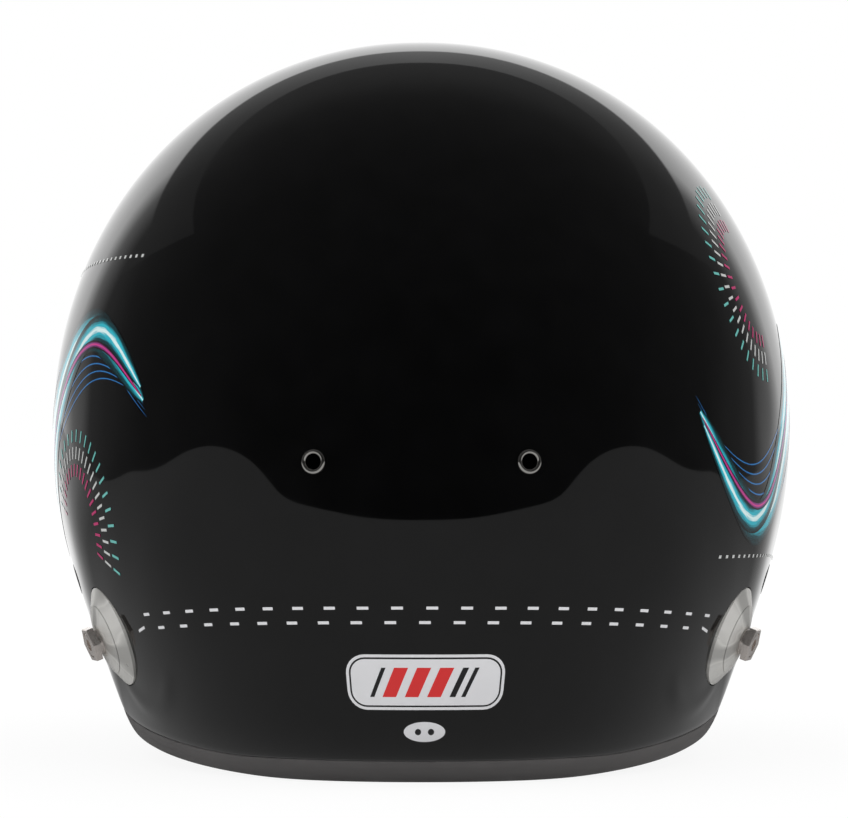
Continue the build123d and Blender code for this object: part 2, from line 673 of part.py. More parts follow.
def make_visor_screw(side):
    """Shoulder screw: the visor turns on its shoulder, and a coin slot drives it."""
    screw = disc(PIVOT_THREAD_RADIUS, THREAD_END, PLATE_OUTER)
    screw += disc(PIVOT_SHOULDER_RADIUS, PLATE_OUTER, HEAD_INNER)
    head = disc(PIVOT_HEAD_RADIUS, HEAD_INNER, HEAD_OUTER)
    head = chamfer(head.edges().group_by(Axis.Z)[-1], PIVOT_HEAD_HEIGHT / 3)
    slot = Pos(0, 0, HEAD_OUTER) * Box(2 * PIVOT_HEAD_RADIUS, COIN_SLOT_WIDTH, 2 * COIN_SLOT_DEPTH)
    return pivot_plane(side) * (screw + head - slot)


def make_visor_nut(side):
    """Nut plate against the inside of the shell."""
    nut = disc(PIVOT_NUT_RADIUS, PIVOT_SEAT - SHELL_WALL - 2 * PIVOT_NUT_DEPTH, HALF_WIDTH)
    nut -= disc(PIVOT_THREAD_RADIUS + SNUG_FIT, 0, HALF_WIDTH + OVERRUN)
    return pivot_plane(side) * nut & form(SHELL_WALL + SNUG_FIT)


def make_tearoff_post(side):
    """Small mushroom post on the visor for tear-off films."""
    seat = VISOR_STANDOFF + VISOR_WALL
    stem = seat + TEAROFF_BASE_HEIGHT + TEAROFF_STEM_HEIGHT
    post = disc(TEAROFF_BASE_RADIUS, VISOR_STANDOFF + VISOR_WALL / 2, seat + TEAROFF_BASE_HEIGHT)
    post = tearoff_plane(side) * post - form(-seat - SNUG_FIT)
    shank = tearoff_plane(side) * disc(TEAROFF_SHANK_RADIUS, 0, stem) - form(-VISOR_STANDOFF)
    top = disc(TEAROFF_STEM_RADIUS, seat + TEAROFF_BASE_HEIGHT / 2, stem)
    head = disc(TEAROFF_HEAD_RADIUS, stem, stem + TEAROFF_HEAD_HEIGHT)
    head = fillet(head.edges().group_by(Axis.Z)[-1], TEAROFF_HEAD_HEIGHT / 2)
    return post + shank + tearoff_plane(side) * (top + head)


# Visor lock

def make_visor_lock_base():
    """Pedestal under the lock lever, seated on the shell."""
    base = disc(LOCK_BASE_RADIUS, -OVERRUN / 2, LOCK_LEVER_BASE - PIVOT_GAP / 2)
    base = chamfer(base.edges().group_by(Axis.Z)[-1], LOCK_LEVER_GAP)
    base -= disc(LOCK_SCREW_RADIUS + SNUG_FIT, -OVERRUN, OVERRUN)
    return lock_plane() * base - form(-SNUG_FIT)


def make_visor_lock_lever():
    """Lever that points along the chin bar at rest and turns up over the visor to lock it."""
    middle = (LOCK_LEVER_BASE + LOCK_LEVER_TOP) / 2
    arm = Pos(LOCK_LEVER_LENGTH / 2, 0, middle) * Box(
        LOCK_LEVER_LENGTH, LOCK_LEVER_WIDTH, LOCK_LEVER_THICKNESS)
    arm += disc(LOCK_BASE_RADIUS, LOCK_LEVER_BASE, LOCK_LEVER_TOP)
    arm = fillet(arm.edges().filter_by(Axis.Z).group_by(Axis.X)[-1], LOCK_LEVER_WIDTH / 3)
    grip = Pos(2 * LOCK_LEVER_LENGTH / 3, 0, LOCK_LEVER_TOP + LOCK_GRIP_HEIGHT / 2) * Box(
        LOCK_GRIP_WIDTH, LOCK_LEVER_WIDTH, LOCK_GRIP_HEIGHT)
    bore = disc(LOCK_SCREW_RADIUS + RUNNING_FIT, 0, 2 * LOCK_LEVER_TOP)
    return lock_plane() * (arm + grip - bore)


def make_visor_lock_screw():
    """Screw that the lock lever turns on."""
    start = LOCK_LEVER_TOP + PIVOT_GAP / 2
    screw = disc(LOCK_SCREW_RADIUS, -SHELL_WALL, start)
    head = disc(LOCK_SCREW_HEAD_RADIUS, start, start + LOCK_SCREW_HEAD_HEIGHT)
    head = fillet(head.edges().group_by(Axis.Z)[-1], LOCK_SCREW_HEAD_HEIGHT / 2)
    slot = Pos(0, 0, start + LOCK_SCREW_HEAD_HEIGHT) * Box(
        2 * LOCK_SCREW_HEAD_RADIUS, COIN_SLOT_WIDTH / 2, COIN_SLOT_DEPTH)
    return lock_plane() * (screw + head - slot)


# Vents

SHUTTER_HEIGHT = VENT_HEIGHT + SHUTTER_OVERLAP
SHUTTER_LEVEL = VENT_LEVEL - VENT_TRAVEL
GUIDE_INNER = VENT_WIDTH / 2 + SHUTTER_OVERLAP
GUIDE_SPACE = GUIDE_INNER + SHUTTER_GAP
GUIDE_LOW = SHUTTER_LEVEL - SHUTTER_HEIGHT / 2 - GUIDE_END
GUIDE_HIGH = VENT_LEVEL + SHUTTER_HEIGHT / 2 + GUIDE_END


def shutter_layer(inner, outer):
    """Upright layer in front of the chin bar, between two standoffs from its section."""
    front = Pos(0, -SPAN / 2, 0) * Box(SPAN, SPAN, SPAN)
    return (upright_form(VENT_LEVEL, -outer) - upright_form(VENT_LEVEL, -inner)) & front


def front_block(start, end, low, high):
    """Block between two distances from the middle plane and two heights, on both sides."""
    width = end - start
    block = Box(width, SPAN, high - low)
    middle = (low + high) / 2
    return Pos(start + width / 2, 0, middle) * block + Pos(-start - width / 2, 0, middle) * block


def make_chin_vent_frame():
    """Vent surround with a collar through the shell and two upright guides."""
    outer_half = GUIDE_SPACE + GUIDE_WIDTH
    face_middle = (GUIDE_LOW + GUIDE_HIGH) / 2
    plate = front_prism(2 * outer_half, GUIDE_HIGH - GUIDE_LOW, VENT_FRAME_CORNER, face_middle)
    column = upright_form(VENT_LEVEL, -VENT_FACE)
    face = column & plate & (front_prism(SPAN, SPAN, VENT_CORNER, face_middle) - form(-SNUG_FIT))
    collar = column & front_prism(VENT_WIDTH + 2 * VENT_COLLAR, VENT_HEIGHT + 2 * VENT_COLLAR,
                                  VENT_CORNER + VENT_COLLAR, VENT_LEVEL)
    collar -= form(SHELL_WALL + LAYER_GAP)
    guides = shutter_layer(VENT_FACE - SNUG_FIT, GUIDE_OUTER)
    guides = guides & front_block(GUIDE_SPACE, outer_half, GUIDE_LOW, GUIDE_HIGH) & plate
    lips = shutter_layer(SHUTTER_OUTER + SHUTTER_GAP, GUIDE_OUTER)
    lips = lips & front_block(GUIDE_SPACE - GUIDE_LIP, outer_half, GUIDE_LOW, GUIDE_HIGH) & plate
    opening = front_prism(VENT_WIDTH, VENT_HEIGHT, VENT_CORNER, VENT_LEVEL)
    return face + collar + guides + lips - opening


def make_chin_vent_mesh():
    """Square mesh that closes the vent inside its collar."""
    layer = form(VENT_MESH_DEPTH) - form(VENT_MESH_DEPTH + VENT_MESH_THICKNESS)
    mesh = layer & front_prism(VENT_WIDTH - 2 * SNUG_FIT, VENT_HEIGHT - 2 * SNUG_FIT,
                               VENT_CORNER, VENT_LEVEL)
    pitch = VENT_MESH_HOLE + VENT_MESH_BAR
    columns = int((VENT_WIDTH - VENT_MESH_BAR) / pitch)
    rows = int((VENT_HEIGHT - VENT_MESH_BAR) / pitch)
    holes = Sketch() + [Pos(place.position.X, place.position.Y) * Rectangle(VENT_MESH_HOLE, VENT_MESH_HOLE)
                        for place in GridLocations(pitch, pitch, columns, rows)]
    return mesh - extrude(Plane.XZ * (Pos(0, VENT_LEVEL) * holes), amount=SPAN / 2)


def make_chin_vent_shutter():
    """Shutter that slides up its guides to close the vent, with a thumb ridge."""
    blade = shutter_layer(SHUTTER_INNER, SHUTTER_OUTER)
    blade &= front_prism(2 * GUIDE_INNER, SHUTTER_HEIGHT, SHUTTER_GAP, SHUTTER_LEVEL)
    ridge = shutter_layer(SHUTTER_OUTER - SNUG_FIT, GUIDE_OUTER)
    ridge &= front_prism(THUMB_RIDGE_WIDTH, THUMB_RIDGE_HEIGHT, THUMB_RIDGE_HEIGHT / 3, SHUTTER_LEVEL)
    return blade + ridge


def brow_oval(grow, low, high):
    """Slot-shaped plug of a brow vent between two levels of its plane."""
    outline = SlotOverall(BROW_VENT_WIDTH + 2 * grow, BROW_VENT_HEIGHT + 2 * grow)
    return Pos(0, 0, low) * extrude(outline, amount=high - low)


def make_brow_vent(side):
    """Moulded inlet insert with upright bars."""
    depth = SHELL_WALL + LAYER_GAP
    body = brow_oval(0, -depth, BROW_VENT_PROUD)
    bore = brow_oval(-BROW_VENT_WALL, -depth, OVERRUN)
    pitch = (BROW_VENT_WIDTH - BROW_VENT_HEIGHT) / (BROW_VENT_BARS - 1)
    bars = [Pos(place.position.X, 0, -depth / 2) * Box(BROW_VENT_BAR, BROW_VENT_HEIGHT, depth / 2)
            for place in GridLocations(pitch, pitch, BROW_VENT_BARS, 1)]
    fixed_bars = Part() + bars
    return brow_plane(side) * (body - bore + (fixed_bars & brow_oval(0, -depth, 0)))


def make_rear_vent_eyelet(side):
    """Rolled steel eyelet through the shell."""
    crown = (EYELET_BORE_RADIUS + EYELET_OUTER_RADIUS) / 2
    outline = make_face([
        Line((EYELET_OUTER_RADIUS, 0), (EYELET_SHANK_RADIUS, 0)),
        Line((EYELET_SHANK_RADIUS, 0), (EYELET_SHANK_RADIUS, -SHELL_WALL - EYELET_TAIL)),
        Line((EYELET_SHANK_RADIUS, -SHELL_WALL - EYELET_TAIL),
             (EYELET_BORE_RADIUS, -SHELL_WALL - EYELET_TAIL)),
        Line((EYELET_BORE_RADIUS, -SHELL_WALL - EYELET_TAIL), (EYELET_BORE_RADIUS, 0)),
        ThreePointArc((EYELET_BORE_RADIUS, 0), (crown, EYELET_PROUD), (EYELET_OUTER_RADIUS, 0)),
    ])
    ring = revolve(Plane.XZ * outline, Axis.Z)
    return eyelet_plane(side) * (Pos(0, 0, SNUG_FIT) * ring)


# Head restraint anchors

def make_anchor_gasket(side):
    """Thin rubber ring under the anchor base."""
    ring = disc(ANCHOR_RADIUS, -ANCHOR_SEAT_DEPTH, -ANCHOR_SEAT_DEPTH + ANCHOR_GASKET)
    return anchor_plane(side) * (ring - disc(ANCHOR_SCREW_RADIUS + SNUG_FIT, -OVERRUN, OVERRUN))


def make_anchor_base(side):
    """Outer cone of the anchor, with a pocket for the inner cone."""
    rim_low = -ANCHOR_SEAT_DEPTH + ANCHOR_GASKET
    base = disc(ANCHOR_RADIUS, rim_low, ANCHOR_RIM)
    rise = ANCHOR_STEP_HEIGHT - ANCHOR_RIM
    base += Pos(0, 0, ANCHOR_RIM + rise / 2) * Cone(ANCHOR_RADIUS, ANCHOR_STEP_RADIUS, rise)
    base -= disc(ANCHOR_SPIGOT_RADIUS + SNUG_FIT, ANCHOR_SPIGOT_FLOOR, OVERRUN)
    base -= disc(ANCHOR_SCREW_RADIUS + SNUG_FIT, -OVERRUN, OVERRUN)
    return anchor_plane(side) * base


def make_anchor_cone(side):
    """Inner cone, seated in the base behind a fine groove."""
    cone = disc(ANCHOR_SPIGOT_RADIUS, ANCHOR_SPIGOT_FLOOR, ANCHOR_STEP_HEIGHT + ANCHOR_GROOVE)
    rise = ANCHOR_CONE_HEIGHT - ANCHOR_STEP_HEIGHT - ANCHOR_GROOVE
    top = Cone(ANCHOR_STEP_RADIUS - ANCHOR_GROOVE, ANCHOR_CONE_RADIUS, rise)
    cone += Pos(0, 0, ANCHOR_CONE_HEIGHT - rise / 2) * top
    cone -= disc(ANCHOR_NECK_RADIUS + SNUG_FIT, -OVERRUN, OVERRUN)
    return anchor_plane(side) * cone


def make_anchor_post(side):
    """Hex-headed post whose neck takes the tether clip."""
    post = disc(ANCHOR_NECK_RADIUS, ANCHOR_SPIGOT_FLOOR, ANCHOR_HEX_BASE)
    head = extrude(RegularPolygon(ANCHOR_HEX_RADIUS, 6), amount=ANCHOR_HEX_THICKNESS)
    head = chamfer(head.edges().group_by(Axis.Z)[-1], ANCHOR_HEX_THICKNESS / 8)
    post += Pos(0, 0, ANCHOR_HEX_BASE) * head
    post -= disc(ANCHOR_SCREW_RADIUS + SNUG_FIT, 0, 2 * ANCHOR_HEX_TOP)
    floor = ANCHOR_HEX_TOP - ANCHOR_SCREW_HEAD_HEIGHT
    return anchor_plane(side) * (post - disc(ANCHOR_SCREW_HEAD_RADIUS + ANCHOR_GROOVE, floor, OVERRUN))


def make_anchor_screw(side):
    """Socket screw through the post into the nut behind the shell."""
    floor = ANCHOR_HEX_TOP - ANCHOR_SCREW_HEAD_HEIGHT
    head = disc(ANCHOR_SCREW_HEAD_RADIUS, floor, ANCHOR_HEX_TOP)
    head = chamfer(head.edges().group_by(Axis.Z)[-1], ANCHOR_SCREW_HEAD_HEIGHT / 6)
    shank = disc(ANCHOR_SCREW_RADIUS, -ANCHOR_NUT_INNER - ANCHOR_NUT_BARREL, floor)
    socket = Pos(0, 0, ANCHOR_HEX_TOP - ANCHOR_SOCKET_DEPTH) * extrude(
        RegularPolygon(ANCHOR_SOCKET_RADIUS, 6), amount=2 * ANCHOR_SOCKET_DEPTH)
    return anchor_plane(side) * (head + shank - socket)


def make_anchor_nut(side):
    """Flanged nut bonded inside the shell."""
    nut = disc(ANCHOR_NUT_RADIUS, -ANCHOR_NUT_INNER, 0)
    nut += disc(ANCHOR_NUT_BARREL_RADIUS, -ANCHOR_NUT_INNER - ANCHOR_NUT_BARREL, 0)
    nut -= disc(ANCHOR_SCREW_RADIUS + SNUG_FIT, -2 * OVERRUN, OVERRUN)
    return anchor_plane(side) * nut & form(SHELL_WALL + SNUG_FIT)


# Chin straps

def strap_frame(side):
    """Upright plane through a strap: its X axis points inward and its Y axis up."""
    middle = form_point(side_turn(side, STRAP_TURN), STRAP_LEVEL)
    level = form_plane(side_turn(side, STRAP_TURN), STRAP_LEVEL).x_dir
    return Plane(origin=(middle.X, middle.Y, 0), x_dir=(-level.Y, level.X, 0), z_dir=level)


def strap_depth(side, height, inset):
    """How far inward the form lies in the strap's plane at one height and inset."""
    point = form_point(side_turn(side, STRAP_TURN), height, inset)
    return strap_frame(side).to_local_coords(point).X


def strap_inner_leg(side):
    """How far inward the strap runs up the face of the cheek pad."""
    inset = CHEEK_PAD_DEPTH + STRAP_PAD_GAP + SLEEVE_THICKNESS / 2
    return strap_depth(side, CHEEK_PAD_FOOT, inset)


def strap_channel(side):
    """Channel down the outside of a cheek pad that the strap and its rivets lie in."""
    width = STRAP_WIDTH + 2 * STRAP_CHANNEL_MARGIN
    band = Pos(0, STRAP_LEVEL / 2, 0) * Box(SPAN, STRAP_LEVEL + 2 * OVERRUN, width)
    return (form(0) - form(STRAP_CHANNEL_DEPTH)) & strap_frame(side) * band


def strap_route(side):
    """Middle line of a strap: down inside the shell, under the cheek pad and up its face."""
    outer = [(strap_depth(side, height, STRAP_OUTER_INSET), height)
             for height in (STRAP_TOP, STRAP_MIDDLE, STRAP_FOOT)]
    inner = strap_inner_leg(side)
    run = LONG_STRAP_RUN if side == LEFT else STRAP_LOOP_RUN
    end = LONG_STRAP_END if side == LEFT else SHORT_STRAP_END
    points = [*outer, (inner, STRAP_FOOT), (inner, STRAP_LOOP_TOP),
              (inner + run, STRAP_LOOP_TOP), (inner + run, end)]
    radii = [STRAP_LOOP_BEND, STRAP_BEND, STRAP_BEND, STRAP_LOOP_BEND, STRAP_LOOP_BEND]
    return FilletPolyline(*points, radius=radii)


def make_chin_strap(side):
    """Webbing chin strap, unfastened and tucked up inside the helmet."""
    frame = strap_frame(side)
    route = strap_route(side)
    band = Plane(origin=route @ 0, x_dir=(0, 0, 1), z_dir=route % 0) * Rectangle(STRAP_WIDTH, STRAP_THICKNESS)
    strap = sweep(band, path=route)
    if side == RIGHT:
        strap += ring_channels(route @ 1)
    cuts = [frame.to_local_coords(plane * disc(RIVET_RADIUS + SNUG_FIT, -OVERRUN, OVERRUN))
            for plane in rivet_planes(side)]
    return frame * (strap - cuts)


def ring_places(end):
    """Centres of the two ring bars beside the end of the short strap."""
    spacing = STRAP_THICKNESS / 2 + RING_CHANNEL_WALL / 4 + RUNNING_FIT + RING_WIRE_RADIUS
    return [Vector(end.X - spacing, end.Y), Vector(end.X + spacing, end.Y)]


def ring_channels(end):
    """Two sewn channels, one on each face of the strap's end, which the ring bars lie in."""
    channels = Part()
    outer = RING_WIRE_RADIUS + RUNNING_FIT + RING_CHANNEL_WALL
    for place in ring_places(end):
        channels += Pos(place.X, place.Y, 0) * Cylinder(outer, RING_CHANNEL_WIDTH)
    bores = [Pos(place.X, place.Y, 0) * Cylinder(RING_WIRE_RADIUS + RUNNING_FIT, STRAP_WIDTH)
             for place in ring_places(end)]
    return channels - bores


def make_chin_strap_ring(number):
    """Steel D-ring hanging in its channel at the end of the short strap."""
    place = ring_places(strap_route(RIGHT) @ 1)[number]
    bar = Cylinder(RING_WIRE_RADIUS, 2 * RING_HALF_SPAN)
    bow = Rot(0, 90, 0) * Torus(RING_HALF_SPAN, RING_WIRE_RADIUS)
    bow &= Pos(0, -SPAN / 2, 0) * Box(SPAN, SPAN, SPAN)
    ends = [Pos(0, 0, end) * Sphere(RING_WIRE_RADIUS) for end in (-RING_HALF_SPAN, RING_HALF_SPAN)]
    return strap_frame(RIGHT) * (Pos(place.X, place.Y, 0) * (bar + bow + ends))


def make_strap_plate(side):
    """Steel plate between the shell and the strap."""
    plane = form_plane(side_turn(side, STRAP_TURN), STRAP_LEVEL)
    depth = SHELL_WALL + PLATE_THICKNESS
    plate = extrude(RectangleRounded(PLATE_WIDTH, PLATE_HEIGHT, PLATE_HEIGHT / 4), amount=depth)
    plate = plane * (Pos(0, 0, -depth) * plate) & form(SHELL_WALL + SNUG_FIT)
    holes = [plane * disc(RIVET_RADIUS + SNUG_FIT, -OVERRUN, OVERRUN) for plane in rivet_planes(side)]
    return plate - holes


def make_strap_rivets():
    """Four rivets, two through each strap anchor, with heads that lie level with the shell."""
    tail = STRAP_OUTER_INSET + STRAP_THICKNESS / 2 + LAYER_GAP
    seat = -RIVET_SEAT_DEPTH
    rivet = disc(RIVET_RADIUS, -tail - RIVET_TAIL_HEIGHT, seat + RIVET_HEAD_HEIGHT / 2)
    rivet += disc(RIVET_TAIL_RADIUS, -tail - RIVET_TAIL_HEIGHT, -tail)
    dome = disc(RIVET_HEAD_RADIUS, seat + SNUG_FIT, seat + RIVET_HEAD_HEIGHT)
    rivet += chamfer(dome.edges().group_by(Axis.Z)[-1], RIVET_HEAD_HEIGHT / 2)
    return Part() + [plane * rivet for side in (LEFT, RIGHT) for plane in rivet_planes(side)]


def make_strap_sleeve(side):
    """Padded sleeve around the part of the strap that meets the neck."""
    inner = strap_inner_leg(side)
    middle = SLEEVE_FOOT + SLEEVE_LENGTH / 2
    block = Box(SLEEVE_THICKNESS, SLEEVE_LENGTH, SLEEVE_WIDTH)
    block = fillet(block.edges().filter_by(Axis.Y), SLEEVE_THICKNESS / 3)
    bore = Box(STRAP_THICKNESS + 2 * SLEEVE_BORE_GAP, 2 * SLEEVE_LENGTH, STRAP_WIDTH + 2 * SLEEVE_BORE_GAP)
    return strap_frame(side) * (Pos(inner, middle, 0) * (block - bore))


# Press studs

def make_cheek_pad_studs():
    """Four press studs on the inside of the shell, two behind each cheek pad."""
    studs = []
    for side in (LEFT, RIGHT):
        for plane in stud_planes(side):
            plate = plane * disc(STUD_PLATE_RADIUS, -SHELL_WALL - STUD_PLATE_THICKNESS, 0)
            stud = plane * disc(STUD_RADIUS, -STUD_END, -SHELL_WALL - STUD_PLATE_THICKNESS / 2)
            studs.append((plate & form(SHELL_WALL + SNUG_FIT)) + stud)
    return Part() + studs


# Assembly

def all_pieces():
    """Every piece of the helmet by its node name."""
    pieces = {
        "outer_shell": make_outer_shell(),
        "lower_edge_trim": make_lower_edge_trim(),
        "eyeport_gasket": make_eyeport_gasket(),
        "crown_foam": make_crown_foam(),
        "chin_foam": make_chin_foam(),
        "crown_comfort_liner": make_crown_comfort_liner(),
        "nape_pad": make_nape_pad(),
        "visor_shield": make_visor_shield(),
        "visor_lock_base": make_visor_lock_base(),
        "visor_lock_lever": make_visor_lock_lever(),
        "visor_lock_screw": make_visor_lock_screw(),
        "chin_vent_frame": make_chin_vent_frame(),
        "chin_vent_mesh": make_chin_vent_mesh(),
        "chin_vent_shutter": make_chin_vent_shutter(),
        "strap_rivets": make_strap_rivets(),
        "cheek_pad_studs": make_cheek_pad_studs(),
        "outer_d_ring": make_chin_strap_ring(0),
        "inner_d_ring": make_chin_strap_ring(1),
    }
    for side, name in SIDE_NAMES.items():
        pieces[f"{name}_cheek_pad"] = make_cheek_pad(side)
        pieces[f"{name}_visor_base_plate"] = make_visor_base_plate(side)
        pieces[f"{name}_visor_screw"] = make_visor_screw(side)
        pieces[f"{name}_visor_nut"] = make_visor_nut(side)
        pieces[f"{name}_tearoff_post"] = make_tearoff_post(side)
        pieces[f"{name}_brow_vent"] = make_brow_vent(side)
        pieces[f"{name}_rear_vent_eyelet"] = make_rear_vent_eyelet(side)
        pieces[f"{name}_anchor_gasket"] = make_anchor_gasket(side)
        pieces[f"{name}_anchor_base"] = make_anchor_base(side)
        pieces[f"{name}_anchor_cone"] = make_anchor_cone(side)
        pieces[f"{name}_anchor_post"] = make_anchor_post(side)
        pieces[f"{name}_anchor_screw"] = make_anchor_screw(side)
        pieces[f"{name}_anchor_nut"] = make_anchor_nut(side)
        pieces[f"{name}_chin_strap"] = make_chin_strap(side)
        pieces[f"{name}_strap_plate"] = make_strap_plate(side)
        pieces[f"{name}_strap_sleeve"] = make_strap_sleeve(side)
    return pieces


os.makedirs("parts", exist_ok=True)
for node, piece in all_pieces().items():
    export_step(Pos(0, PLAN_SHIFT, 0) * piece, f"parts/{node}.step")
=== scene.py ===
"""Looks of a full-face auto racing helmet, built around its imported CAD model.

Lengths in this file are millimetres until a mesh is made. +Z is up, the wearer faces -Y and
the wearer's left is +X. The shell's form is worked out from its widest line, y = 0, and then
moved along Y by PLAN_SHIFT, as in the model's source.
"""
import logging
from dataclasses import dataclass, field
from enum import Enum
from math import pi, radians
from typing import Iterable, Sequence

import bmesh
import bpy
import numpy as np
from mathutils import Matrix, Vector


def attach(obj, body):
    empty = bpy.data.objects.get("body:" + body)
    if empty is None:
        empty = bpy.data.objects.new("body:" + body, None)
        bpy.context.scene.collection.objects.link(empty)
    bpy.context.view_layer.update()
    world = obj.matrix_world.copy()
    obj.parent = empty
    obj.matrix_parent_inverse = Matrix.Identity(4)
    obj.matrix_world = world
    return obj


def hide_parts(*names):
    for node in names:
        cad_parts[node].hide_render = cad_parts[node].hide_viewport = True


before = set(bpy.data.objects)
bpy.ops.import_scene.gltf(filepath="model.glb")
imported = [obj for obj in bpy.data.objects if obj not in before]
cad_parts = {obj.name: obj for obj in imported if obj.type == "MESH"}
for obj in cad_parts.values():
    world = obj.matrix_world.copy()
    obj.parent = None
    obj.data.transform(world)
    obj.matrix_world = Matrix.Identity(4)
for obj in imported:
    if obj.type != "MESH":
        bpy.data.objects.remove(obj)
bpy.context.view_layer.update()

LOG = logging.getLogger("helmet")
MM = 0.001
PLAN_SHIFT = 8.9
SHELL_BODY = "shell"
Array = np.ndarray
Colour = tuple[float, float, float]
Faces = list[list[int]]
Piece = bpy.types.Object
Material = bpy.types.Material
Socket = bpy.types.NodeSocket


class Side(Enum):
    """The wearer's two sides."""

    LEFT = 1
    RIGHT = -1

    @property
    def word(self) -> str:
        """The side's name as the model's nodes use it."""
        return self.name.lower()


# Form of the shell


def smooth(share: Array) -> Array:
    """Smooth step from 0 to 1: three squares less two cubes of the held share."""
    held = np.clip(share, 0.0, 1.0)
    return held * held * (3 - 2 * held)


def unit(vectors: Array) -> Array:
    """Vectors drawn to a length of 1."""
    return vectors / np.linalg.norm(vectors, axis=1, keepdims=True)


def run_lengths(points: Array) -> Array:
    """Distance along a line of points from its first point to each one."""
    return np.concatenate([[0.0], np.cumsum(np.linalg.norm(np.diff(points, axis=0), axis=1))])


def at_lengths(places: Array, lengths: Array, points: Array) -> Array:
    """Points at distances along a line whose own points lie at the given lengths."""
    return np.stack([np.interp(places, lengths, column) for column in points.T], axis=-1)


def sideways(line: Array) -> Array:
    """Unit directions square to a flat line, to its left."""
    tangent = unit(np.gradient(line, axis=0))
    return np.stack([-tangent[:, 1], tangent[:, 0]], axis=-1)


def repeated(faces: Array, size: int, count: int) -> Array:
    """Faces of one small grid of so many points, repeated for every copy of it."""
    return (faces[None] + size * np.arange(count)[:, None, None]).reshape(-1, 4)


